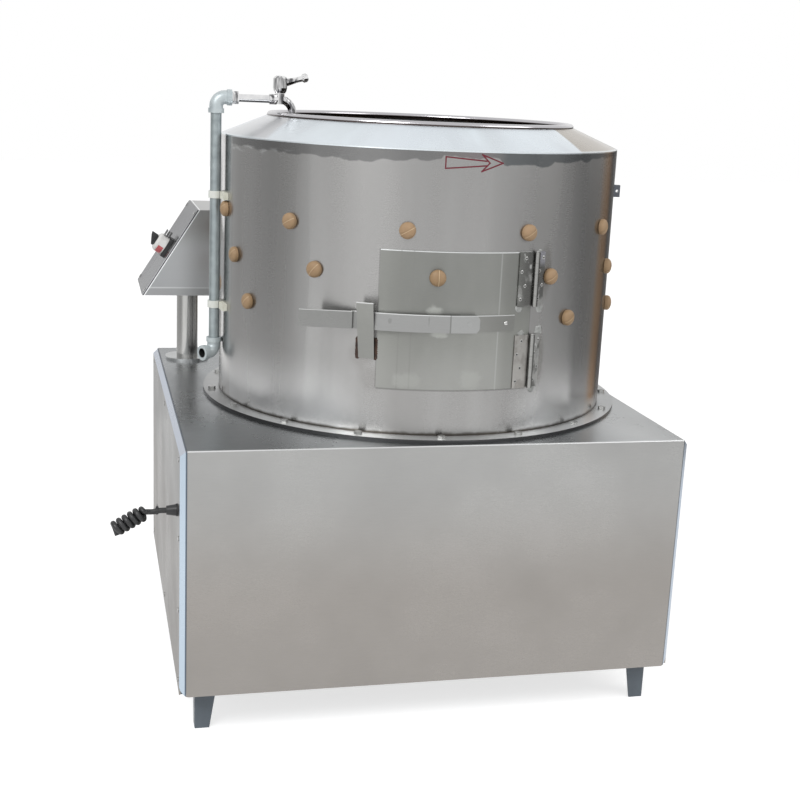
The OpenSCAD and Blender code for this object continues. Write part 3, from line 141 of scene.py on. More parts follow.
class Graph:
    """A node tree whose methods add nodes and give back the socket with their result."""

    def __init__(self, tree):
        self.tree = tree

    def feed(self, node, socket, value):
        """Links a socket to a node's input, or sets the input to a constant."""
        if isinstance(value, bpy.types.NodeSocket):
            self.tree.links.new(value, node.inputs[socket])
        else:
            node.inputs[socket].default_value = value

    def add(self, kind, inputs=(), **settings):
        """A shader node with its settings, and its inputs fed by name or number."""
        node = self.tree.nodes.new("ShaderNode" + kind)
        for key, value in settings.items():
            setattr(node, key, value)
        for socket, value in dict(inputs).items():
            self.feed(node, socket, value)
        return node

    def calc(self, operation, *values):
        return self.add("Math", enumerate(values), operation=operation).outputs[0]

    def plus(self, a, b):
        return self.calc("ADD", a, b)

    def minus(self, a, b):
        return self.calc("SUBTRACT", a, b)

    def times(self, a, b):
        return self.calc("MULTIPLY", a, b)

    def vector(self, operation, *values):
        """A sum with vectors: lengths, distances and dot products come out as a number."""
        node = self.add("VectorMath", enumerate(values), operation=operation)
        is_number = operation in ("LENGTH", "DISTANCE", "DOT_PRODUCT")
        return node.outputs["Value" if is_number else "Vector"]

    def split(self, vector):
        return self.add("SeparateXYZ", {0: vector}).outputs

    def place(self):
        """The point being shaded, in metres in the machine's frame."""
        return self.add("TexCoord").outputs["Object"]

    def facing(self):
        """The x, y and z of the direction that the surface faces."""
        return self.split(self.add("NewGeometry").outputs["Normal"])

    def noise(self, vector, scale, stretch=(1, 1, 1), detail=4.0):
        mapped = self.add("Mapping", {"Vector": vector, "Scale": stretch}).outputs[0]
        inputs = {"Vector": mapped, "Scale": scale, "Detail": detail}
        return self.add("TexNoise", inputs).outputs["Fac"]

    def spread(self, value, low, high, to_low, to_high):
        """Maps a value from one range to another, held at the ends, with a smooth step."""
        inputs = {"Value": value, "From Min": low, "From Max": high, "To Min": to_low, "To Max": to_high}
        return self.add("MapRange", inputs, interpolation_type="SMOOTHSTEP").outputs["Result"]

    def rise(self, value, low, high, top=1.0):
        """0 at the first limit, rising to a top at the second."""
        return self.spread(value, low, high, 0.0, top)

    def fall(self, value, low, high, top=1.0):
        """A top at the first limit, falling to 0 at the second."""
        return self.spread(value, low, high, top, 0.0)

    def band(self, value, low, high, soft):
        """1 between two limits, falling to 0 over a soft edge."""
        return self.times(self.rise(value, low - soft, low),
                          self.fall(value, high, high + soft))

    def colours(self, factor, stops):
        """A colour ramp: stops are (position, (r, g, b)) pairs."""
        ramp = self.add("ValToRGB", {0: factor})
        elements = ramp.color_ramp.elements
        while len(elements) < len(stops):
            elements.new(0.5)
        for element, (position, colour) in zip(elements, stops):
            element.position = position
            element.color = (*colour, 1)
        return ramp.outputs["Color"]


print("node helpers ready")

# %% [markdown]
# Every finish starts from the Principled shader. Marks are laid over it by tinting the colour
# that it already has, one mark on top of the other.

# %% Finish


class Finish(Graph):
    """A material on the Principled shader."""

    def __init__(self, name, metallic=0.0, roughness=0.5):
        self.material = bpy.data.materials.new(name)
        self.material.use_nodes = True
        super().__init__(self.material.node_tree)
        self.shader = self.tree.nodes["Principled BSDF"]
        self.put("Metallic", metallic)
        self.put("Roughness", roughness)

    def put(self, socket, value):
        """Feeds an input of the shader."""
        self.feed(self.shader, socket, value)

    def tint(self, factor, colour, mode="MIX"):
        """Lays a colour over what the shader has, by a factor."""
        below = self.shader.inputs["Base Color"].links[0].from_socket
        if isinstance(colour, tuple):
            colour = (*colour, 1)
        mix = self.add("Mix", {0: factor, 6: below, 7: colour}, data_type="RGBA", blend_type=mode)
        self.put("Base Color", mix.outputs[2])

    def shade(self, factor, colour):
        """Darkens what the shader has, by a factor."""
        self.tint(factor, colour, "MULTIPLY")

    def relief(self, height, strength, distance):
        bump = self.add("Bump", {"Height": height, "Strength": strength, "Distance": distance})
        self.put("Normal", bump.outputs[0])

    def dull_edge(self, level):
        """Lowers what a sheet mirrors at a flat angle."""
        self.put("Specular Tint", (level, level, level, 1))

    def dress(self, *names):
        """Gives CAD nodes this finish in place of their plain one."""
        for name in names:
            solids[name].data.materials.clear()
            solids[name].data.materials.append(self.material)
        return self


def grey(level):
    return (level, level, level)


print("finish helpers ready")

# %% [markdown]
# ## Steel sheet
# The drum and the cabinet are bare stainless sheet. It is a metal, so what it shows is its
# surroundings, a little blurred. A broad noise shifts its tone as handling marks do, and a noise
# stretched along the rolling direction gives the hairline grain, in the roughness and the relief.

# %% Steel
GRAIN_DEPTH = 0.4 * MM


def brush(f, broad, hair, share, stops, rough, depth):
    """Colour, roughness and relief from a broad noise and a share of the hairlines."""
    tone = f.plus(f.times(broad, 1 - share), f.times(hair, share))
    f.put("Base Color", f.colours(tone, stops))
    f.put("Roughness", f.spread(tone, 0.3, 0.7, rough[1], rough[0]))
    f.relief(hair, depth, GRAIN_DEPTH)
    return f


def steel(name, light, dark, rough=(0.22, 0.36), grain=(1, 1, 40), scale=60.0, depth=0.12):
    """A brushed sheet: grain stretches the hairlines, and is small along the brushing."""
    f = Finish(name, metallic=1.0)
    place = f.place()
    broad = f.noise(place, 5.0, detail=3.0)
    hair = f.noise(place, scale, grain, detail=3.0)
    return brush(f, broad, hair, 0.3, [(0.3, dark), (0.7, light)], rough, depth)


f = steel("side_steel", (0.38, 0.38, 0.375), (0.33, 0.33, 0.325), grain=(1, 1, 60))
f.dress("rear_panel", "pan_wall", "feather_pan")
f = steel("flange_bright", (0.62, 0.63, 0.63), (0.44, 0.45, 0.45), (0.2, 0.32), (1, 1, 1))
f.dress("post_flange")
f = steel("post_steel", (0.46, 0.46, 0.45), (0.3, 0.3, 0.29), (0.16, 0.26), (30, 30, 1), 30.0, 0.05)
f.dress("control_post")
f = steel("shaft_steel", grey(0.5), grey(0.38), grain=(1, 1, 30))
f.dress("main_shaft", "motor_shaft", "upper_bearing", "lower_bearing")
bolt_steel = steel("bolt_steel", (0.5, 0.5, 0.49), (0.33, 0.33, 0.32), (0.2, 0.4), (1, 1, 1))
bolt_steel.dress("panel_screws", "flange_bolts", "cover_screws", "shaft_nut", "hinge_pins")
print("steel sheets dressed")

# %% [markdown]
# The cabinet's sheets turn darker and warmer lower down, which is painted shade. A painted highlight
# lies on the bend from front to top, and the top is painted cooler, a painted reflection, with a
# painted highlight at its right end. Strips of pale blue film are still on the folded edges of the
# sides, the only faces that lean both to a side and forwards or upwards, so the surface's normal
# picks them out; where they face up or to the right they are painted lighter, a painted highlight.
# A dark line runs where the film meets the front sheet.

# %% Cabinet sheets
FILM = (0.46, 0.54, 0.62)
FILM_LIT = (0.74, 0.79, 0.88)
FILM_LINE = 2.5 * MM
WARM_FROM, WARM_TO = 0.52, 0.24
TOP_LIT_FROM, TOP_LIT_TO = 0.24, 0.42


def cabinet_sheet(name, node):
    """Cabinet steel for a node, darker and warmer towards the floor as painted shade, with its x and its
    facing for more marks.
    """
    f = steel(name, (0.36, 0.36, 0.355), (0.31, 0.31, 0.305), (0.24, 0.36), (1, 1, 60), depth=0.08)
    x, _, z = f.split(f.place())
    # painted shade: the sheet turns darker and warmer towards the floor
    f.shade(f.fall(z, WARM_TO, WARM_FROM), (0.83, 0.785, 0.75))
    f.dress(node)
    return f, x, f.facing()


def filmed_sheet(name, node, seam):
    """A side of the cabinet; seam is the x of the fold where its film ends."""
    f, x, (to_right, _, upward) = cabinet_sheet(name, node)
    f.dull_edge(0.62)
    sideways = f.calc("ABSOLUTE", to_right)
    leaning = f.times(f.rise(sideways, 0.3, 0.4), f.fall(sideways, 0.9, 0.97))
    f.tint(leaning, FILM)
    # painted highlight: the film is painted lighter where it faces up or to the right
    f.tint(f.times(leaning, f.rise(upward, 0.3, 0.5)), FILM_LIT)
    f.tint(f.times(leaning, f.rise(to_right, 0.3, 0.4, 0.35)), FILM_LIT)
    away = f.calc("ABSOLUTE", f.minus(x, seam))
    f.tint(f.fall(away, FILM_LINE * 0.8, FILM_LINE, 0.9), (0.07, 0.09, 0.12))


filmed_sheet("left_steel", "left_side_panel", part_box("left_side_panel")[1].x)
filmed_sheet("right_steel", "right_side_panel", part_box("right_side_panel")[0].x)

f, x, (_, to_back, upward) = cabinet_sheet("front_steel", "front_top_panel")
# painted highlight on the bend from front to top
bend_highlight = f.times(f.band(upward, 0.25, 0.9, 0.1), f.fall(to_back, -0.35, -0.2, 0.8))
f.tint(bend_highlight, (0.7, 0.71, 0.71))
on_top = f.rise(upward, 0.9, 0.97, 0.7)
# painted reflection: the top is painted cooler and darker
f.tint(on_top, (0.325, 0.345, 0.36))
# painted highlight towards the top's right end
f.tint(f.times(on_top, f.rise(x, TOP_LIT_FROM, TOP_LIT_TO, 1.3)), (0.68, 0.69, 0.69))
print("cabinet sheets dressed")

# %% [markdown]
# The control box is the same sheet, less worn, and darker to the left, and painted shade darkens
# it at the top, under the cover. Its cover is duller. On the box a dark gap of painted shade and a
# painted highlight on the cut edge run along under the sloped cover, and along its folded foot a
# painted highlight lies on the bend, with painted shade below it.

# %% Control box
BOX_FOLD = 17 * MM
SLOPE_RISE, SLOPE_RUN = 186, 118
SLOPE = atan2(SLOPE_RISE, SLOPE_RUN)
box_low, box_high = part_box("control_box")
fold_z = box_low.z + BOX_FOLD
down_slope = Vector((sin(SLOPE), 0, -cos(SLOPE)))

f = steel("box_steel", (0.485, 0.49, 0.495), (0.46, 0.465, 0.47), (0.28, 0.32), (1, 1, 12), 40.0, 0.01)
f.dress("control_box")
x, _, z = f.split(f.place())
f.shade(f.fall(x, box_low.x, box_high.x), (0.72, 0.73, 0.74))
# painted shade: the box darkens at the top, under the cover
f.shade(f.rise(z, box_high.z - 90 * MM, box_high.z - 30 * MM), (0.72, 0.71, 0.69))
from_fold = f.calc("ABSOLUTE", f.minus(z, fold_z))
# painted highlight on the bend of the folded foot
f.tint(f.fall(from_fold, 1 * MM, 2 * MM, 0.5), (0.7, 0.71, 0.71))
# painted shade below the folded foot
f.tint(f.fall(z, fold_z - 2 * MM, fold_z, 0.3), grey(0.3))
under = f.minus(f.vector("DOT_PRODUCT", f.place(), down_slope), box_low.dot(down_slope))
# painted highlight on the cut edge under the cover
f.tint(f.band(under, 2.2 * MM, 3.8 * MM, 0.6 * MM), (0.85, 0.86, 0.87))
# painted shade in the gap under the cover
f.tint(f.fall(under, 1.6 * MM, 2.2 * MM, 0.95), (0.03, 0.03, 0.033))

f = steel("cover_steel", (0.45, 0.455, 0.47), (0.41, 0.415, 0.43), (0.24, 0.3), (1, 1, 12), 40.0, 0.01)
f.dull_edge(0.55)
f.dress("control_cover")
print("control box dressed")

# %% [markdown]
# ## The drum's own steel
# The drum is rolled from one sheet and its hairlines run round it. Scratches that run one way
# smear a reflection across them, so the shader is given anisotropy, turned so that what the drum
# mirrors is drawn out upwards and stays crisp from side to side. Wrapping the coordinates, with
# the arc length in place of X, keeps the grain level all the way round.

# %% Drum steel


def wrap(f):
    """Lays the drum's sheet flat for a finish: arc length round the drum, and height."""
    x, y, f.height = f.split(f.place())
    angle = f.calc("ARCTAN2", f.minus(x, DRUM_X), f.times(f.minus(y, DRUM_Y), -1.0))
    f.arc = f.times(angle, DRUM_R)
    f.flat = f.add("CombineXYZ", {0: f.arc, 2: f.height}).outputs[0]
    return f


def arc_at(angle):
    return radians(angle) * DRUM_R


def by_angle(f, stops):
    """A colour that changes with the angle round the drum: stops are (angle, colour) pairs."""
    first, last = stops[0][0], stops[-1][0]
    inputs = {"Value": f.arc, "From Min": arc_at(first), "From Max": arc_at(last)}
    share = f.add("MapRange", inputs).outputs["Result"]
    return f.colours(share, [((angle - first) / (last - first), colour) for angle, colour in stops])


def drum_sheet(name, light, dark, rough, streaks=0.12):
    """Sheet brushed round the drum, with faint upright streaks."""
    f = wrap(Finish(name, metallic=1.0))
    streak = f.noise(f.flat, 9.0, (1, 1, streaks), detail=3.0)
    hair = f.noise(f.flat, 70.0, (1, 1, 30), detail=3.0)
    f.put("Tangent", f.add("Tangent", direction_type="RADIAL", axis="Z").outputs[0])
    f.put("Anisotropic", 0.8)
    f.put("Anisotropic Rotation", 0.25)
    return brush(f, streak, hair, 0.2, [(0.32, dark), (0.68, light)], rough, 0.06)


def smudge(f, centre, size, amount, colour, ragged=0.5):
    """A soft-edged patch on the flat sheet: centre is (angle, height), size its half extents."""
    shift = f.vector("SUBTRACT", f.flat, (arc_at(centre[0]), 0, centre[1]))
    away = f.vector("LENGTH", f.vector("MULTIPLY", shift, (1 / size[0], 1, 1 / size[1])))
    away = f.plus(away, f.times(f.noise(f.flat, 60.0, detail=5.0), ragged))
    f.tint(f.fall(away, 0.4 + ragged / 2, 1.0 + ragged / 2, amount), colour)


print("drum helpers ready")

# %% [markdown]
# Marks on the drum are laid on one by one: torn film hangs under the seam, with pale scuffs along
# its edge, and its depth is listed by angle. The foot and a strip beside the pipe are painted paler,
# a painted reflection. A ragged dark brown band runs round the foot just above the flange, grey
# stains lie round the hinges and the keeper, and a dark line of shade runs round the door.

# %% Drum marks
door_low, door_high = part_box("door_panel")
DOOR_LEFT = -22.7
DOOR_RIGHT = 18.6
MARK = 1.2 * MM
FILM_HANG = [(-90, 15), (-66, 17), (-48, 20), (-29, 24), (-11, 20), (-8.5, 17), (-8, 11), (7, 11), (7.5, 20),
             (12, 23), (22.8, 23), (23.3, 18), (38, 16), (45, 10), (60, 8)]
FILM_TEAR = 22 * MM
FILM_TONES = [(-60, grey(0.16)), (-10, grey(0.16)), (0, (0.19, 0.165, 0.17)), (7, grey(0.16)),
              (9, (0.105, 0.115, 0.12)), (60, (0.1, 0.105, 0.11))]
FOOT_BAND_LOW = CAB_TOP + 7 * MM
STAINS = [((23.4, 0.855), (0.018, 0.06), 0.5), ((22.9, 0.69), (0.014, 0.07), 0.4),
          ((-27, 0.7), (0.03, 0.04), 0.25), ((-24, 0.655), (0.03, 0.03), 0.2)]
DOOR_LINES = [(DOOR_LEFT - 0.35, DOOR_LEFT, door_low.z, door_high.z),
              (DOOR_RIGHT, DOOR_RIGHT + 0.2, door_low.z, door_high.z),
              (DOOR_LEFT, DOOR_RIGHT, door_low.z - 2 * MM, door_low.z)]

f = drum_sheet("drum_steel", (0.345, 0.345, 0.34), (0.285, 0.28, 0.275), (0.2, 0.32))
f.dress("drum_shell")
ragged = f.noise(f.flat, 26.0, (1, 1, 0.6), detail=6.0)
hang = by_angle(f, [(angle, grey(depth * MM)) for angle, depth in FILM_HANG])
edge = f.minus(f.minus(SEAM_Z + FILM_TEAR / 2, f.times(ragged, FILM_TEAR)), hang)
f.tint(f.rise(f.height, edge, f.plus(edge, 3 * MM), 0.85), by_angle(f, FILM_TONES))
scuffs = f.times(f.band(f.height, SEAM_Z - 22 * MM, SEAM_Z - 16 * MM, 5 * MM),
                 f.rise(f.noise(f.flat, 40.0, (1, 1, 3), detail=6.0), 0.5, 0.6, 0.6))
f.tint(f.times(scuffs, f.spread(f.arc, arc_at(-60), arc_at(-45), 1.0, 0.05)), (0.5, 0.51, 0.51))
# painted reflection: the drum's foot, away from the door, is painted paler
beside_door = f.minus(1.0, f.band(f.arc, arc_at(-26), arc_at(12), 90 * MM))
f.tint(f.times(f.fall(f.height, CAB_TOP, CAB_TOP + 150 * MM), beside_door), grey(0.66))
# painted reflection: a paler strip beside the pipe
pipe_side_reflection = f.band(f.arc, arc_at(-90), arc_at(-78), arc_at(1.5))
f.tint(f.times(pipe_side_reflection, 0.7), (0.5, 0.49, 0.48))
# a ragged dark brown band along the drum's foot, just above the flange
foot_band_high = f.calc("MULTIPLY_ADD", f.noise(f.flat, 60.0, detail=5.0), 14 * MM, FOOT_BAND_LOW)
f.tint(f.fall(f.height, FOOT_BAND_LOW, foot_band_high, 0.95), (0.05, 0.042, 0.034))
for stain in STAINS:
    smudge(f, *stain, (0.16, 0.15, 0.135))
for start, end, bottom, top in DOOR_LINES:
    line = f.times(f.band(f.arc, arc_at(start), arc_at(end), MARK), f.band(f.height, bottom, top, MARK))
    f.tint(f.times(line, 0.5), (0.13, 0.13, 0.125))
print("drum dressed")

# %% [markdown]
# The door has the same steel, duller from handling and darker above the bar. A painted highlight runs
# along its top edge and painted shade along its bottom edge, three faint upright lines run down it,
# one light and two dark, and pale scuffs lie where the bar rubs.

# %% Door
DOOR_STREAKS = [(8.9, (0.45, 0.46, 0.45)), (-17.5, (0.2, 0.2, 0.19)), (-14.3, (0.21, 0.21, 0.2))]
DOOR_SCUFFS = [((-8.4, 0.786), (0.017, 0.012), 0.7), ((-7, 0.742), (0.022, 0.008), 0.6),
               ((-14.5, 0.655), (0.035, 0.02), 0.22), ((1.5, 0.66), (0.03, 0.022), 0.22)]
HINGE_STAIN = ((15.2, 0.86), (0.014, 0.05), 0.4)

f = drum_sheet("door_steel", (0.3, 0.305, 0.288), (0.24, 0.244, 0.23), (0.3, 0.42), 0.4)
f.dress("door_panel")
f.shade(f.rise(f.height, 0.74, 0.82), (0.87, 0.87, 0.875))
f.tint(f.fall(f.height, 0.66, 0.74, 0.4), (0.36, 0.36, 0.35))
for start, end in ((-4, -20), (8, 12)):
    f.shade(f.rise(f.arc, arc_at(start), arc_at(end)), (0.86, 0.86, 0.855))
# painted highlight along the top edge
f.tint(f.rise(f.height, door_high.z - 2 * MM, door_high.z - 1 * MM, 0.8), (0.8, 0.82, 0.82))
# painted shade along the bottom edge
f.tint(f.rise(f.height, door_low.z + 1.5 * MM, door_low.z + 0.5 * MM, 0.6), (0.15, 0.15, 0.14))
# three faint upright lines, one light and two dark
for fold, tone in DOOR_STREAKS:
    f.tint(f.times(f.band(f.arc, arc_at(fold), arc_at(fold) + MARK, 1.5 * MM), 0.35), tone)
for scuff in DOOR_SCUFFS:
    smudge(f, *scuff, (0.44, 0.45, 0.425), 1.2)
smudge(f, *HINGE_STAIN, (0.2, 0.2, 0.19))
print("door dressed")

# %% [markdown]
# The cone faces the sky, and its colour is painted nearly white, a painted reflection of the sky, with
# painted reflections in a beige share at the right and a greyer one at the left, whose edges slant,
# and a painted highlight along its lower edge. The rim and the drum's flange have painted shade
# underneath, where they meet the sheet.

# %% Cone, rim, flange and plate
CONE_SLANT = 1.2

# painted reflection: the cone's colour is painted nearly white and bluish, like the sky
f = drum_sheet("cone_steel", (0.78, 0.85, 0.9), (0.66, 0.7, 0.74), (0.22, 0.32), 1.0)
f.dress("cone_cover")
f.tint(f.rise(f.noise(f.flat, 4.0, detail=4.0), 0.45, 0.6, 0.3), (0.55, 0.58, 0.6))
slant = f.times(f.minus(f.height, SEAM_Z), CONE_SLANT)
# painted reflections: a beige share at the right and a greyer one at the left
beige_reflection = f.times(f.fall(f.arc, arc_at(60), arc_at(100)),
                      f.rise(f.minus(f.arc, slant), arc_at(33.5), arc_at(35), 0.9))
f.tint(beige_reflection, (0.37, 0.325, 0.27))
grey_reflection = f.times(f.rise(f.arc, arc_at(-110), arc_at(-80)),
                     f.fall(f.plus(f.arc, slant), arc_at(-60), arc_at(-57), 0.8))
f.tint(grey_reflection, (0.56, 0.56, 0.57))
# painted highlight along the cone's lower edge
f.tint(f.fall(f.height, SEAM_Z + 3 * MM, SEAM_Z + 5 * MM, 0.7), (0.7, 0.75, 0.78))

f = steel("rim_steel", (0.52, 0.51, 0.53), (0.44, 0.435, 0.45), (0.14, 0.24), (20, 20, 1))
f.dress("rim_ring")
# painted shade on the rim's underside
f.tint(f.fall(f.facing()[2], 0.08, 0.3, 0.95), (0.05, 0.035, 0.03))

f = drum_sheet("flange_steel", (0.76, 0.77, 0.77), (0.68, 0.69, 0.69), (0.3, 0.36))
f.dress("drum_flange")
f.tint(f.fall(f.arc, arc_at(-78), arc_at(-50), 0.65), grey(0.25))
# painted shade on the flange's edge and underside
f.tint(f.fall(f.facing()[2], 0.3, 0.6, 0.95), (0.04, 0.04, 0.042))

drum_sheet("plate_steel", grey(0.45), grey(0.36), (0.25, 0.4)).dress("feather_plate")
print("cone, rim, flange and plate dressed")

# %% [markdown]
# The hinge leaves are blotched: weld spatter and acid have left dark and bright patches, more on
# the upper hinge. The upper door leaf is painted darker, a painted reflection, the lower door leaf is
# lighter, and a painted highlight lies at the top of the upper wall leaf. The knuckle round the pin is
# dark, with a painted highlight on one side and painted shade in the gap round it.

# %% Hinges
KNUCKLE_R = 5.2 * MM
latch_z = middle("latch_bar")[2]
pin = Vector(middle("hinge_pins"))
pin_arc = atan2(pin.x - DRUM_X, DRUM_Y - pin.y) * DRUM_R
hinge_low, hinge_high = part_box("door_hinge_leaves")


def from_upright(f, axis):
    """The distance from an upright line."""
    level_place = f.vector("MULTIPLY", f.place(), (1, 1, 0))
    return f.vector("DISTANCE", level_place, (axis.x, axis.y, 0))


f = wrap(steel("hinge_steel", (0.42, 0.42, 0.41), (0.32, 0.32, 0.31), (0.2, 0.34), (1, 1, 8), 50.0, 0.2))
f.dress("door_hinge_leaves", "wall_hinge_leaves")
upper = f.rise(f.height, latch_z, latch_z + 20 * MM)
lower = f.minus(1.0, upper)
blotch = f.plus(f.noise(f.flat, 45.0, (1, 1, 0.6), detail=5.0),
                f.rise(f.height, latch_z, latch_z + 20 * MM, 0.12))
f.tint(f.rise(blotch, 0.48, 0.62, 0.8), (0.1, 0.1, 0.095))
spatter = f.noise(f.flat, 70.0, (1, 1, 0.5), detail=4.0)
f.tint(f.rise(spatter, 0.58, 0.66, 0.7), (0.7, 0.71, 0.7))
# painted reflection: the upper door leaf is painted darker
f.tint(f.times(upper, f.fall(f.arc, arc_at(14), arc_at(17.2), 0.5)), (0.24, 0.245, 0.23))
f.tint(f.times(lower, f.fall(f.arc, arc_at(18), arc_at(19), 0.55)), (0.42, 0.4, 0.375))
# painted highlight at the top of the upper wall leaf
leaf_top_highlight = f.times(f.rise(f.height, hinge_high.z - 30 * MM, hinge_high.z - 16 * MM, 0.75),
                    f.rise(f.arc, arc_at(19.4), arc_at(19.8)))
f.tint(leaf_top_highlight, (0.42, 0.42, 0.46))
from_pin = from_upright(f, pin)
# painted shade in the gap round the knuckle
f.tint(f.fall(from_pin, KNUCKLE_R + 0.8 * MM, KNUCKLE_R + 1.4 * MM, 0.9), grey(0.05))
in_knuckle = f.fall(from_pin, KNUCKLE_R, KNUCKLE_R + 0.4 * MM)
f.tint(in_knuckle, (0.13, 0.13, 0.125))
# painted highlight on one side of the knuckle
knuckle_highlight = f.band(f.arc, pin_arc - 4.4 * MM, pin_arc - 0.6 * MM, 0.6 * MM)
f.tint(f.times(in_knuckle, knuckle_highlight), (0.3, 0.3, 0.29))
print("hinges dressed")

# %% [markdown]
# The latch's three pieces have a painted highlight along their cut top edges. The bar has a darker
# handle, a line where its end is lapped, a painted highlight on the end past it, a rounded tip
# painted dark with shade, and two small dents painted as dark spots of shade.

# %% Latch
PIN_A = 0.6
HANDLE_A = -27.5
LAP_A = -4.4
TIP_A = 3.1
BAR_DENTS = [((-19.6, 0.766), (0.005, 0.007)), ((-9.8, 0.768), (0.0015, 0.012))]


def latch_finish(node, light, dark):
    """Steel for one piece of the latch, with a painted highlight on its top edge."""
    f = wrap(steel(node + "_steel", light, dark, (0.24, 0.36), (1, 1, 30)))
    f.dress(node)
    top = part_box(node)[1].z
    # painted highlight along the top edge
    f.tint(f.rise(f.height, top - 1.6 * MM, top - 1.0 * MM, 0.8), (0.75, 0.76, 0.76))
    return f


latch_finish("latch_keeper", (0.26, 0.263, 0.25), (0.225, 0.227, 0.215))
f = latch_finish("latch_pad", (0.26, 0.262, 0.25), (0.22, 0.222, 0.21))
smudge(f, (PIN_A, latch_z), (0.013, 0.013), 1.0, (0.34, 0.345, 0.342), 0.0)
f = latch_finish("latch_bar", (0.325, 0.328, 0.325), (0.28, 0.282, 0.278))
lap, handle = arc_at(LAP_A), arc_at(HANDLE_A)
# painted highlight on the bent end past the lap
f.tint(f.rise(f.arc, lap, lap + 2 * MM, 0.5), (0.36, 0.365, 0.362))
f.shade(f.fall(f.arc, handle, handle + 4 * MM), (0.78, 0.78, 0.77))
f.tint(f.times(f.band(f.arc, lap, lap + MARK, MARK), 0.6), (0.14, 0.14, 0.135))
# painted shade on the rounded tip
f.tint(f.rise(f.arc, arc_at(TIP_A), arc_at(TIP_A + 0.6), 0.8), (0.08, 0.08, 0.075))
# painted shade: each dent is a dark spot
for dent in BAR_DENTS:
    smudge(f, *dent, 0.35, (0.15, 0.15, 0.145), 1.5)
print("latch dressed")

# %% [markdown]
# ## Paint, plastic and rubber
# The other finishes are simple ones, each with its own grain: satin paint with a fine orange
# peel, rough castings, and matt plastics and rubbers whose colour drifts a little.

# %% Other finishes
PEEL_DEPTH = 0.5 * MM
PEEL_FINER = 12


def plain_finish(name, light, dark, rough, scale, metallic=0.0, depth=0.1, stretch=(1, 1, 1),
                 ends=(0.3, 0.7)):
    """A finish whose colour and roughness drift with one noise, from dark to light between two ends."""
    f = Finish(name, metallic)
    place = f.place()
    cloud = f.noise(place, scale, stretch)
    f.put("Base Color", f.colours(cloud, [(ends[0], dark), (ends[1], light)]))
    f.put("Roughness", f.spread(cloud, *ends, *rough))
    f.relief(f.noise(place, scale * PEEL_FINER), depth, PEEL_DEPTH)
    return f


f = plain_finish("frame_paint", (0.125, 0.15, 0.175), (0.095, 0.115, 0.135), (0.4, 0.55), 30)
f.dress("frame_posts", "cross_rails", "side_rails", "bearing_beams", "feet", "motor_plate")
f = plain_finish("motor_paint", (0.06, 0.11, 0.17), (0.045, 0.085, 0.13), (0.35, 0.5), 60)
f.dress("motor_body", "motor_fan_cover")
f = plain_finish("lug_steel", (0.14, 0.15, 0.17), (0.09, 0.095, 0.11), (0.3, 0.45), 60, 0.8)
f.dress("lifting_lug")
f = plain_finish("cast_iron", (0.06, 0.06, 0.065), (0.035, 0.035, 0.038), (0.5, 0.7), 200, 0.5)
f.dress("plate_hub", "bearing_housing", "driven_pulley", "motor_pulley")
f = plain_finish("white_plastic", (0.8, 0.79, 0.77), (0.7, 0.69, 0.67), (0.2, 0.35), 60)
f.dress("switch_body")
f = plain_finish("belt_rubber", grey(0.03), grey(0.015), (0.6, 0.8), 90)
f.dress("drive_belts")
black_plastic = plain_finish("black_plastic", (0.03, 0.03, 0.032), (0.015, 0.015, 0.016), (0.35, 0.5), 120)
black_plastic.dress("switch_base", "switch_knob", "cord_gland")
finger_rubber = plain_finish("finger_rubber", (0.38, 0.25, 0.145), (0.28, 0.18, 0.09), (0.5, 0.7), 14,
                             depth=0.15)
finger_rubber.dress("wall_fingers", "plate_fingers", "door_finger")
parting_rubber = plain_finish("parting_rubber", (0.58, 0.43, 0.27), (0.5, 0.36, 0.21), (0.5, 0.7), 60)
cord_rubber = plain_finish("cord_rubber", (0.028, 0.029, 0.03), (0.016, 0.016, 0.017), (0.35, 0.5), 120)
print("paint, plastic and rubber dressed")

# %% [markdown]
# ## The pipework
# The galvanised pipe has a cloudy spangle, and painted shade darkens its lower elbow inside the open
# mouth. The tap is bright chrome with dark streaks, painted reflections, and its pipe has painted
# shade underneath. Each clip has a grey ring, and painted shade in a dark gap just outside the pipe.

# %% Pipe finishes
CLIP_WALL = 3 * MM
inlet = next(mount for mount in frame["record"]["mounts"] if mount["name"] == "water_inlet")
bore = inlet["dims"]["r_mm"] * MM
riser_low, riser_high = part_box("riser_pipe")
clip_r = (riser_high.x - riser_low.x) / 2 + CLIP_WALL

f = plain_finish("pipe_zinc", (0.36, 0.405, 0.415), (0.27, 0.31, 0.32), (0.3, 0.45), 60, 0.7)
f.dress("riser_pipe")
f = plain_finish("elbow_zinc", (0.52, 0.57, 0.58), (0.4, 0.45, 0.47), (0.35, 0.5), 60, 0.4)
f.dress("lower_elbow", "upper_elbow")
from_mouth = f.vector("SUBTRACT", f.place(), inlet["pos_m"])
off_axis = f.vector("LENGTH", f.vector("CROSS_PRODUCT", from_mouth, inlet["axis"]))
# painted shade inside the open mouth
f.tint(f.fall(off_axis, bore + 0.2 * MM, bore + 0.5 * MM, 0.95), grey(0.02))
# painted reflections: dark and bright upright streaks in the chrome
f = plain_finish("tap_chrome", grey(0.78), (0.12, 0.12, 0.125), (0.05, 0.1), 150, 1.0, 0.02,
                 stretch=(1, 1, 0.1), ends=(0.4, 0.56))
f.dress("tap_bush", "tap_body", "tap_lever")
f = plain_finish("pipe_chrome", grey(0.8), (0.66, 0.66, 0.67), (0.05, 0.1), 90, 1.0, 0.02)
f.dress("tap_pipe")
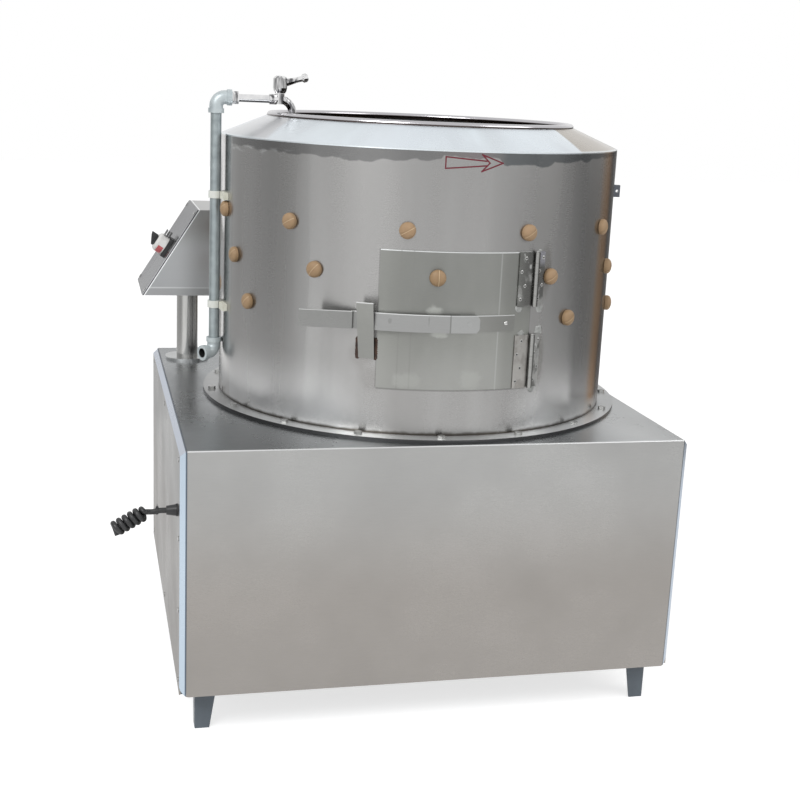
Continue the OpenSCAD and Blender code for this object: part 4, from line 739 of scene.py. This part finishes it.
# painted shade underneath the pipe
f.tint(f.fall(f.facing()[2], -0.55, -0.25, 0.9), (0.05, 0.05, 0.052))
f = plain_finish("clip_plastic", (0.74, 0.74, 0.65), (0.64, 0.635, 0.53), (0.4, 0.55), 80)
f.dress("pipe_clips")
from_riser = from_upright(f, Vector(middle("riser_pipe")))
f.tint(f.fall(from_riser, clip_r + 0.4 * MM, clip_r + 1 * MM, 0.5), (0.72, 0.76, 0.77))
# painted shade in the gap just outside the pipe
f.tint(f.band(from_riser, clip_r + 0.6 * MM, clip_r + 2 * MM, 0.4 * MM), (0.1, 0.1, 0.09))
print("pipework dressed")

# %% [markdown]
# ## The curly cord
# A black cable leaves the left panel through its gland and is wound into a tight curl that
# droops under its own weight. It is one curve with a round bevel: a few points lead out of the
# gland, and the curl is worked out turn by turn along a drooping axis. Its pitch is a hair less
# than the solid's, because a rounder curl would otherwise stand out of the solid's box.

# %% Cord
CORD_D = 10 * MM
CORD_LEAD = [(0, 0, 0), (-10, 0, 0), (-17, 0, -1), (-24, 0, -2), (-31, 0, -2)]
CURL_START = Vector((-38, 0, -2))
CURL_R = 10.2
CURL_PITCH = 11.05
CURLS = 5.5
CURL_DROP = radians(30)
CURL_STEPS = 24

cord_exit = Vector((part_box("cord_gland")[0].x, *middle("cord_gland")[1:]))
curl_axis = Vector((-cos(CURL_DROP), 0, -sin(CURL_DROP)))
curl_up = Vector((-sin(CURL_DROP), 0, cos(CURL_DROP)))
curl_side = Vector((0, 1, 0))


def curl_point(turn):
    """A point of the curl, in millimetres from the exit, after so many turns."""
    a = radians(360 * turn - 60)
    r = CURL_R * min(1, 2 * turn + 0.25)
    return CURL_START + curl_axis * CURL_PITCH * turn + (curl_up * cos(a) + curl_side * sin(a)) * r


def smooth_line(points, steps):
    """A Catmull-Rom curve through the points."""
    line = []
    for i in range(len(points) - 1):
        p0, p1 = points[max(i - 1, 0)], points[i]
        p2, p3 = points[i + 1], points[min(i + 2, len(points) - 1)]
        for k in range(steps):
            t = k / steps
            line.append(0.5 * (2 * p1 + (p2 - p0) * t + (2 * p0 - 5 * p1 + 4 * p2 - p3) * t * t
                               + (3 * p1 - p0 - 3 * p2 + p3) * t ** 3))
    return line + [points[-1]]


curl = [curl_point(i / CURL_STEPS) for i in range(int(CURLS * CURL_STEPS) + 1)]
tail = curl[-1] + (curl[-1] - curl[-2]).normalized() * CORD_D / MM
cord_line = [cord_exit + p * MM for p in smooth_line([Vector(p) for p in CORD_LEAD] + curl + [tail], 2)]

cord_curve = bpy.data.curves.new("curly_cord", "CURVE")
cord_curve.dimensions = "3D"
cord_curve.bevel_depth = CORD_D / 2
cord_curve.bevel_resolution = 6
cord_curve.use_fill_caps = True
spline = cord_curve.splines.new("POLY")
spline.points.add(len(cord_line) - 1)
for point, place in zip(spline.points, cord_line):
    point.co = (*place, 1)
curly_cord = add_object("curly_cord", cord_curve)
cord_curve.materials.append(cord_rubber.material)
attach(curly_cord, "cabinet")
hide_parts("power_cord")

# %% [markdown]
# ## Mesh helpers
# Small turned pieces, such as the fingers and the screw, are profiles spun round an axis. Shapes
# are drawn in millimetres, and one function gathers placed copies into one object in metres.

# %% Mesh helpers
SHARP = radians(40)


def arch(width, rise, angles):
    """The (radius, height) points of a quarter oval at some angles in degrees."""
    return [(width * cos(radians(t)), rise * sin(radians(t))) for t in angles]


def spun(profile, steps):
    """Points and faces of a profile of (radius, height) pairs turned round Z; radius 0 is a pole."""
    points, rings = [], []
    for r, z in profile:
        count = steps if r else 1
        rings.append(range(len(points), len(points) + count))
        for k in range(count):
            a = 2 * pi * k / steps
            points.append(Vector((r * cos(a), r * sin(a), z)))
    faces = []
    for low, high in zip(rings, rings[1:]):
        for k in range(steps):
            n = (k + 1) % steps
            if len(low) == 1:
                faces.append((low[0], high[k], high[n]))
            elif len(high) == 1:
                faces.append((low[k], high[0], low[n]))
            else:
                faces.append((low[k], high[k], high[n], low[n]))
    return points, faces


def slab(x, z, length, width, rise):
    """A bar with bevelled top edges on a height z: it starts at x and is centred on y = 0."""
    b = min(width, rise) * 0.3
    points = []
    for inset, height in ((0, z), (b, z + rise)):
        x0, x1, y = x + inset, x + length - inset, width / 2 - inset
        points += [Vector((*corner, height)) for corner in ((x0, -y), (x1, -y), (x1, y), (x0, y))]
    sides = [(k, (k + 1) % 4, 4 + (k + 1) % 4, 4 + k) for k in range(4)]
    return points, [(0, 3, 2, 1), (4, 5, 6, 7)] + sides


def ribbon(points):
    """Faces between pairs of points that follow each other along a ribbon."""
    return [(k, k + 2, k + 3, k + 1) for k in range(0, len(points) - 2, 2)]


def placed(shape, seats):
    return [(seat, *shape) for seat in seats]


def make_object(name, points, faces, finish):
    mesh = bpy.data.meshes.new(name)
    mesh.from_pydata(points, [], faces)
    mesh.materials.append(finish.material)
    return add_object(name, mesh)


def make_piece(name, shapes, finish, body, unit=MM):
    """One object from (matrix, points, faces) shapes, riding on a body."""
    points, faces = [], []
    for matrix, shape_points, shape_faces in shapes:
        first = len(points)
        points += [matrix @ (p * unit) for p in shape_points]
        faces += [tuple(first + i for i in face) for face in shape_faces]
    piece = make_object(name, points, faces, finish)
    piece.data.validate()
    for polygon in piece.data.polygons:
        polygon.use_smooth = True
    piece.data.set_sharp_from_angle(angle=SHARP)
    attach(piece, body)
    print(name, len(piece.data.polygons), "faces")
    return piece


print("mesh helpers ready")

# %% [markdown]
# A cable tie is pulled tight round the cord before its first curl: a band, a small head on top
# and the cut end of the strap sticking up out of it.

# %% Cable tie
TIE_AT = Vector((-16, 0, -1))
TIE_R = 5.1
TIE_T = 1.2
TIE_W = 4.0

tie_place = Matrix.Translation(cord_exit + TIE_AT * MM)
tie_out, tie_half = TIE_R + TIE_T, TIE_W / 2
tie_section = [(TIE_R, -tie_half), (tie_out, -tie_half), (tie_out, tie_half), (TIE_R, tie_half)]
tie_shapes = [(tie_place @ Matrix.Rotation(pi / 2, 4, "Y"), *spun(tie_section + tie_section[:1], 32)),
              (tie_place, *slab(-3, TIE_R + 0.8, 6, 5, 3)),
              (tie_place, *slab(-0.8, TIE_R + 3, 1.6, 3.6, 5))]
cord_tie = make_piece("cord_tie", tie_shapes, black_plastic, "cabinet")

# %% [markdown]
# ## The rubber fingers
# Each finger is pulled through a hole: a domed head stays outside, a ribbed taper points in. The
# mould leaves a groove over each head, made by pushing two opposite rows of the dome's points in a
# little, and a pale raised line beside it.

# %% Finger shapes
HEAD_R = 15.0
HEAD_H = 13.0
HEAD_SKIRT = 5.0
NECK_R = 10.8
NECK_PLAY = 0.4
ROOT_R = 12.5
TIP_R = 7.5
FINGER_L = 92.0
FINGER_TIP_L = 8.0
FINGER_RIBS = 6
RIB_DEPTH = 1.6
FINGER_STEPS = 36
PARTING_DEPTH = 0.7
PARTING_W = 1.3
PARTING_IN = 0.3
PARTING_RISE = 0.25
WALL_T = 2
PLATE_T = 4


def finger_shape(wall):
    """A finger with its head on +Z; Z = 0 is the outer face of a wall of that thickness."""
    dome = arch(HEAD_R, HEAD_H - HEAD_SKIRT, (75, 60, 45, 30, 15, 0))
    profile = [(0, HEAD_H)] + [(r, HEAD_SKIRT + z) for r, z in dome]
    profile += [(HEAD_R, 0.6), (HEAD_R - 0.5, 0.1), (NECK_R, 0.1), (NECK_R, -wall - NECK_PLAY)]
    rib = (FINGER_L - FINGER_TIP_L) / FINGER_RIBS
    for i in range(FINGER_RIBS):
        r = ROOT_R + (TIP_R - ROOT_R) * i / FINGER_RIBS
        z = -wall - NECK_PLAY - i * rib
        waist = r - RIB_DEPTH
        profile += [(r, z), (r, z - rib * 0.25), (waist, z - rib * 0.6), (waist, z - rib * 0.8)]
    end = -wall - FINGER_L
    profile += [(TIP_R, end + 6), (TIP_R * 0.8, end + 2), (TIP_R * 0.4, end), (0, end)]
    points, faces = spun(profile[::-1], FINGER_STEPS)
    for p in points:
        if p.z > HEAD_SKIRT * 0.9 and abs(p.x) < 0.01 and p.length > 0.5:
            p *= 1 - PARTING_DEPTH / p.length
    return points, faces


def parting_shape():
    """The pale raised line over a head, beside its groove."""
    points = []
    for t in range(-78, 79, 6):
        a = radians(t)
        rise = HEAD_SKIRT + (HEAD_H - HEAD_SKIRT + PARTING_RISE) * cos(a)
        for x in (PARTING_IN, PARTING_IN + PARTING_W):
            points.append(Vector((x, (HEAD_R + PARTING_RISE) * sin(a), rise)))
    return points, [(k, k + 1, k + 3, k + 2) for k in range(0, len(points) - 2, 2)]


wall_shape, plate_shape, line_shape = finger_shape(WALL_T), finger_shape(PLATE_T), parting_shape()
print("finger points", len(wall_shape[0]))

# %% [markdown]
# Now the fingers are placed in staggered rows, and places behind the latch stay empty. A finger on
# the door rides with it and stands on its outer face. The others are turned at random, as they
# were when they were pulled in.

# %% Fingers
FINGER_COLUMNS = 11
FINGER_ROWS = 3
FINGER_FIRST = -16.2
FINGER_Z = 0.216
FINGER_ROW_STEP = 0.082
PARTING_TILT = -50
PARTING_SWING = 16
EMPTY_FROM, EMPTY_TO = -45, 19
EMPTY_REACH = 30 * MM
DOOR_PROUD = 2.3 * MM
DOOR_OUT_R = DRUM_R + DOOR_PROUD

random.seed(4)
wall_seats, door_seats = [], []
for row in range(FINGER_ROWS):
    for column in range(FINGER_COLUMNS):
        angle = FINGER_FIRST + (FINGER_ROWS - 1 - row + 4 * column) * 360 / FINGER_COLUMNS / 4
        angle -= 360 if angle > 180 else 0
        height = CAB_TOP + FINGER_Z + row * FINGER_ROW_STEP
        place = on_drum(angle, height, DRUM_R)
        if abs(height - latch_z) < EMPTY_REACH and EMPTY_FROM < angle < EMPTY_TO:
            continue
        in_front = door_low.x < place.x < door_high.x and place.y < DRUM_Y
        on_door = in_front and door_low.z < height < door_high.z
        turn = 0 if on_door else random.uniform(PARTING_TILT - PARTING_SWING, PARTING_TILT + PARTING_SWING)
        seat = out_of_drum(angle, height, DOOR_OUT_R if on_door else DRUM_R)
        seat = seat @ Matrix.Rotation(radians(turn), 4, "Z")
        (door_seats if on_door else wall_seats).append(seat)

wall_rubbers = make_piece("wall_rubbers", placed(wall_shape, wall_seats), finger_rubber, "cabinet")
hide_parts("wall_fingers")
door_rubber = make_piece("door_rubber", placed(wall_shape, door_seats), finger_rubber, "door")
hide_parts("door_finger")
make_piece("wall_parting_lines", placed(line_shape, wall_seats), parting_rubber, "cabinet")
make_piece("door_parting_line", placed(line_shape, door_seats), parting_rubber, "door")

# %% [markdown]
# The plate's fingers are the same ones, standing up from the turning plate in three rings.

# %% Plate fingers
PLATE_RINGS = [(0.1, 6), (0.2, 12), (0.31, 18)]
plate_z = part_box("feather_plate")[0].z
plate_heads = []
for ring_r, count in PLATE_RINGS:
    for i in range(count):
        a = (i + 0.5) * 2 * pi / count
        at = Vector((DRUM_X + ring_r * cos(a), DRUM_Y + ring_r * sin(a), plate_z))
        plate_heads.append((Matrix.Translation(at) @ Matrix.Rotation(pi, 4, "X"), *plate_shape))
plate_rubbers = make_piece("plate_rubbers", plate_heads, finger_rubber, "rotor")
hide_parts("plate_fingers")

# %% [markdown]
# ## Hinge holes and the pad's screw
# Each hinge leaf has four holes in a zigzag, drawn as a bright worn ring round a dark disc of painted
# shade in the middle. A round-headed screw holds the pad that the latch bar turns on.

# %% Hinge holes
HOLE_R = 1.7
RING_R = 3.2
HINGE_L = 0.1
HOLE_STEPS = (0.889, 0.642, 0.383, 0.136)
LEAF_T = 2.1 * MM
SCREW_R = 4.2
SCREW_H = 2.2
PAD_SCREW_A = 11.0
PAD_PROUD = 2.6 * MM

ring_section = [(RING_R, -0.3), (RING_R, 0.2), (RING_R - 0.7, 0.6), (HOLE_R, 0.35), (HOLE_R - 0.2, -0.3)]
ring_shape = spun(ring_section, 20)
hole_shape = spun([(HOLE_R, 0.15), (HOLE_R * 0.5, 0.12), (0, 0.12)], 16)
# painted shade: a dark disc stands for the inside of each hole
hole_shade = plain_finish("hole_shade", (0.03, 0.028, 0.026), (0.015, 0.015, 0.014), (0.6, 0.8), 200)
for body, label, angles, radius in (("door", "door_leaf", (16.1, 14.9), DOOR_OUT_R + LEAF_T),
                                    ("cabinet", "wall_leaf", (21.9, 20.8), DRUM_R + LEAF_T)):
    holes = [out_of_drum(angles[i % 2], bottom + HINGE_L * part, radius)
             for bottom in (hinge_low.z, hinge_high.z - HINGE_L) for i, part in enumerate(HOLE_STEPS)]
    make_piece(label + "_rings", placed(ring_shape, holes), bolt_steel, body)
    make_piece(label + "_holes", placed(hole_shape, holes), hole_shade, body)

screw_profile = [(SCREW_R, -0.4)] + arch(SCREW_R, SCREW_H, (0, 20, 40, 60, 80)) + [(0, SCREW_H)]
screw = (out_of_drum(PAD_SCREW_A, latch_z, DOOR_OUT_R + PAD_PROUD), *spun(screw_profile, 24))
screw_finish = plain_finish("screw_finish", (0.6, 0.6, 0.59), (0.4, 0.4, 0.39), (0.1, 0.2), 60, 1.0)
make_piece("pad_screw", [screw], screw_finish, "door")

# %% [markdown]
# ## Welds
# The hinge leaves are tacked on with blobs of weld, and the keeper with two burnt beads, which are
# rows of blobs. A blob is a flattened dome whose points are pushed about at random. Tacks left of
# the pin lie on the door, the others on the drum.

# %% Welds
TACKS = [(14.7, 0.789, 7), (21.8, 0.788, 9), (20.9, 0.892, 4.5), (22.0, 0.745, 9), (20.6, 0.636, 8),
         (16.0, 0.741, 7)]
TACK_H = 1.6
DOOR_TACKS_TO = 18
BEAD_ANGLES = (-27.95, -23.05)
BEAD_LOW, BEAD_HIGH = 0.694, 0.726
BEAD_COUNT = 9
BEAD_R = 4.6
BEAD_H = 4
BEAD_SEED = 20


def weld_blob(width, rise, seed):
    """A flattened dome, pushed about."""
    dice = random.Random(seed)
    profile = [(width, -0.5)] + arch(width, rise, (0, 25, 50, 72)) + [(0, rise)]
    points, faces = spun(profile, 14)
    spans = ((0.8, 1.2), (0.8, 1.2), (0.75, 1.1))
    return [Vector([v * dice.uniform(*span) for v, span in zip(p, spans)]) for p in points], faces


weld_finish = plain_finish("weld_finish", (0.4, 0.41, 0.4), (0.26, 0.265, 0.255), (0.4, 0.55), 120, 0.8, 0.6)
for body, radius in (("door", DOOR_OUT_R), ("cabinet", DRUM_R)):
    blobs = [(out_of_drum(a, z, radius), *weld_blob(r, TACK_H, i))
             for i, (a, z, r) in enumerate(TACKS) if (a < DOOR_TACKS_TO) == (body == "door")]
    make_piece(body + "_tacks", blobs, weld_finish, body)

burnt_weld = plain_finish("burnt_weld", (0.12, 0.07, 0.05), (0.03, 0.022, 0.02), (0.5, 0.75), 150, 0.4, 0.8)
bead_step = (BEAD_HIGH - BEAD_LOW) / (BEAD_COUNT - 1)
beads = [(out_of_drum(a, BEAD_LOW + bead_step * i, DRUM_R), *weld_blob(BEAD_R, BEAD_H, BEAD_SEED + i))
         for a in BEAD_ANGLES for i in range(BEAD_COUNT)]
make_piece("keeper_welds", beads, burnt_weld, "cabinet")

# %% [markdown]
# ## Marks on the switch
# The switch stands on the sloped cover. Three dark ribs stand out of its white body up the slope,
# where its wires go in, and a red dash marks the off side. Both lie on the slope's own frame.

# %% Switch marks
BASE_H = 7.0
RIB_FROM = 19.5
RIB_SIZE = (14.0, 26.0, 1.3)
RIB_RISES = (2.0, 7.5, 13.0)
MARK_R = 21.2
MARK_LOW, MARK_HIGH = 2.5, 15.0
MARK_FROM, MARK_TO = 185, 258
MARK_STEPS = 10

slope_up = Vector((cos(SLOPE), 0, sin(SLOPE)))
slope_out = Vector((-sin(SLOPE), 0, cos(SLOPE)))
slope_turn = Matrix((slope_up, Vector((0, 1, 0)), slope_out)).transposed().to_4x4()
slope_frame = Matrix.Translation(middle("switch_base")) @ slope_turn

ribs = [(slope_frame, *slab(RIB_FROM, BASE_H / 2 + rise, *RIB_SIZE)) for rise in RIB_RISES]
make_piece("switch_ribs", ribs, black_plastic, "cabinet")

mark_points = []
for k in range(MARK_STEPS + 1):
    a = radians(MARK_FROM + (MARK_TO - MARK_FROM) * k / MARK_STEPS)
    for z in (MARK_LOW, MARK_HIGH):
        mark_points.append(Vector((MARK_R * cos(a), MARK_R * sin(a), BASE_H / 2 + z)))
red_mark = plain_finish("red_mark", (0.62, 0.14, 0.15), (0.5, 0.07, 0.08), (0.35, 0.5), 150)
dash = (slope_frame, mark_points, ribbon(mark_points))
make_piece("switch_mark", [dash], red_mark, "cabinet")

# %% [markdown]
# ## The turning arrow
# A red arrow outline under the seam shows which way the plate turns. It is a thin ribbon: the
# arrow's outline is given as angle and height, each side is cut into short steps so that it
# follows the drum, and the ribbon stands a hair's breadth proud of the steel.

# %% Arrow
SHAFT = [(3.2, 0.5055), (-7.4, 0.511), (-7.4, 0.491), (3.2, 0.4975)]
HEAD = [(1.97, 0.5165), (7.65, 0.5026), (2.0, 0.4873), (4.1, 0.5022), (1.97, 0.5165)]
ARROW_LINE = 2.4 * MM
ARROW_PROUD = 0.25 * MM
ARROW_STEPS = 16

arrow_paint = plain_finish("arrow_paint", (0.15, 0.008, 0.02), (0.11, 0.006, 0.014), (0.6, 0.75), 150)
arrow_sides = []
for outline in (SHAFT, HEAD):
    corners = [Vector((arc_at(angle), height)) for angle, height in outline]
    for a, b in zip(corners, corners[1:]):
        along = (b - a).normalized()
        side = Vector((-along.y, along.x)) * ARROW_LINE / 2
        points = []
        for k in range(ARROW_STEPS + 1):
            centre = a - along * ARROW_LINE / 2 + (b - a + along * ARROW_LINE) * k / ARROW_STEPS
            points += [on_drum(degrees(p.x / DRUM_R), CAB_TOP + p.y, DRUM_R + ARROW_PROUD)
                       for p in (centre - side, centre + side)]
        arrow_sides.append((Matrix.Identity(4), points, ribbon(points)))
make_piece("turning_arrow", arrow_sides, arrow_paint, "cabinet", unit=1)

# %% [markdown]
# ## The floor and the light
# A pale floor and a white surround stand in for a studio. The camera and the metal both see the
# surround as white, while the lamps and a dimmer sky light the matt pieces at a plain level.

# %% Stage
FLOOR_HALF = 15.0
FLOOR_GLOW = 0.7
SKY_LEVEL = 0.55
MACHINE = Vector((0, 0, 0.6))


def seen_directly(graph):
    """1 for rays from the camera, and for those that metal and glass send on."""
    ray = graph.add("LightPath").outputs
    mirrored = graph.calc("MAXIMUM", ray["Is Glossy Ray"], ray["Is Transmission Ray"])
    return graph.calc("MAXIMUM", ray["Is Camera Ray"], mirrored)


def glow(f, colour, strength):
    return f.add("Emission", {"Color": colour, "Strength": strength}).outputs[0]


def show(f, surface):
    """Makes a shader the surface of a finish."""
    f.feed(f.tree.nodes["Material Output"], "Surface", surface)


def soft_lamp(name, at, size, power):
    """A round lamp that points at the machine."""
    lamp = add_object(name, bpy.data.lights.new(name, "AREA"))
    lamp.data.shape = "DISK"
    lamp.data.size = size
    lamp.data.energy = power
    lamp.location = at
    lamp.rotation_mode = "QUATERNION"
    lamp.rotation_quaternion = (MACHINE - Vector(at)).to_track_quat("-Z", "Y")


f = Finish("pale_floor", roughness=0.8)
f.put("Base Color", (*grey(0.6), 1))
floor_glow = glow(f, (1, 1, 1, 1), f.times(seen_directly(f), FLOOR_GLOW))
show(f, f.add("AddShader", {0: f.shader.outputs[0], 1: floor_glow}).outputs[0])
corners = [(FLOOR_HALF * x, FLOOR_HALF * y, 0) for x, y in ((-1, -1), (1, -1), (1, 1), (-1, 1))]
floor = make_object("floor", corners, [(0, 1, 2, 3)], f)

world = bpy.data.worlds.new("studio")
scene.world = world
world.use_nodes = True
sky = Graph(world.node_tree)
background = sky.tree.nodes["Background"]
sky.feed(background, "Color", (1, 1, 1, 1))
sky.feed(background, "Strength", sky.spread(seen_directly(sky), 0.0, 1.0, SKY_LEVEL, 1.0))

soft_lamp("key", (-2.2, -2.6, 3.4), 2.2, 90)
soft_lamp("fill", (2.8, -2.0, 2.6), 2.6, 40)
scene.view_settings.view_transform = "Standard"
print("stage set")

# %% [markdown]
# ## Cards for the steel to mirror
# Bare steel in an all-white room looks flat. Curved cards stand round the machine, out of the
# camera's sight, and only mirrors see them: grey ones at the left and behind, and two at the
# right that darken to brown. Their tones run with the angle round the drum.

# %% Cards
CARD_R = 1.9
CARD_STEPS = 40
LEFT_TONES = [(-142, grey(0.9)), (-130, grey(0.62)), (-114, grey(0.64)), (-94, grey(0.52)),
              (-82, grey(0.62)), (-70, grey(0.9))]
RIGHT_TONES = [(22, grey(1.0)), (35, grey(0.76)), (50, grey(0.54)), (66, grey(0.55)),
               (76, grey(0.42)), (86, grey(0.3))]
EDGE_TONES = [(86, grey(0.3)), (97, grey(0.26)), (104, grey(0.32)), (110, (0.34, 0.24, 0.16)),
              (115, (0.36, 0.23, 0.14)), (119, (0.2, 0.14, 0.1)), (124, grey(0.08)),
              (134, grey(0.16)), (150, grey(0.5))]
BACK_TONES = [(-180, grey(0.5)), (-160, grey(0.6))]


def mirror_card(name, low, high, stops):
    """A curved upright card between two heights; stops are (angle, colour) pairs along it."""
    start, end = stops[0][0], stops[-1][0]
    points = []
    for k in range(CARD_STEPS + 1):
        a = start + (end - start) * k / CARD_STEPS
        points += [on_drum(a, low, CARD_R), on_drum(a, high, CARD_R)]
    f = wrap(Finish(name))
    show(f, glow(f, by_angle(f, stops), 1.0))
    card = make_object(name, points, ribbon(points), f)
    card.visible_camera = card.visible_diffuse = card.visible_shadow = False


mirror_card("left_card", 0.24, 1.5, LEFT_TONES)
mirror_card("right_card", 0.26, 1.5, RIGHT_TONES)
mirror_card("edge_card", 0.08, 1.15, EDGE_TONES)
mirror_card("back_card", 0.02, 0.92, BACK_TONES)
print("cards set")
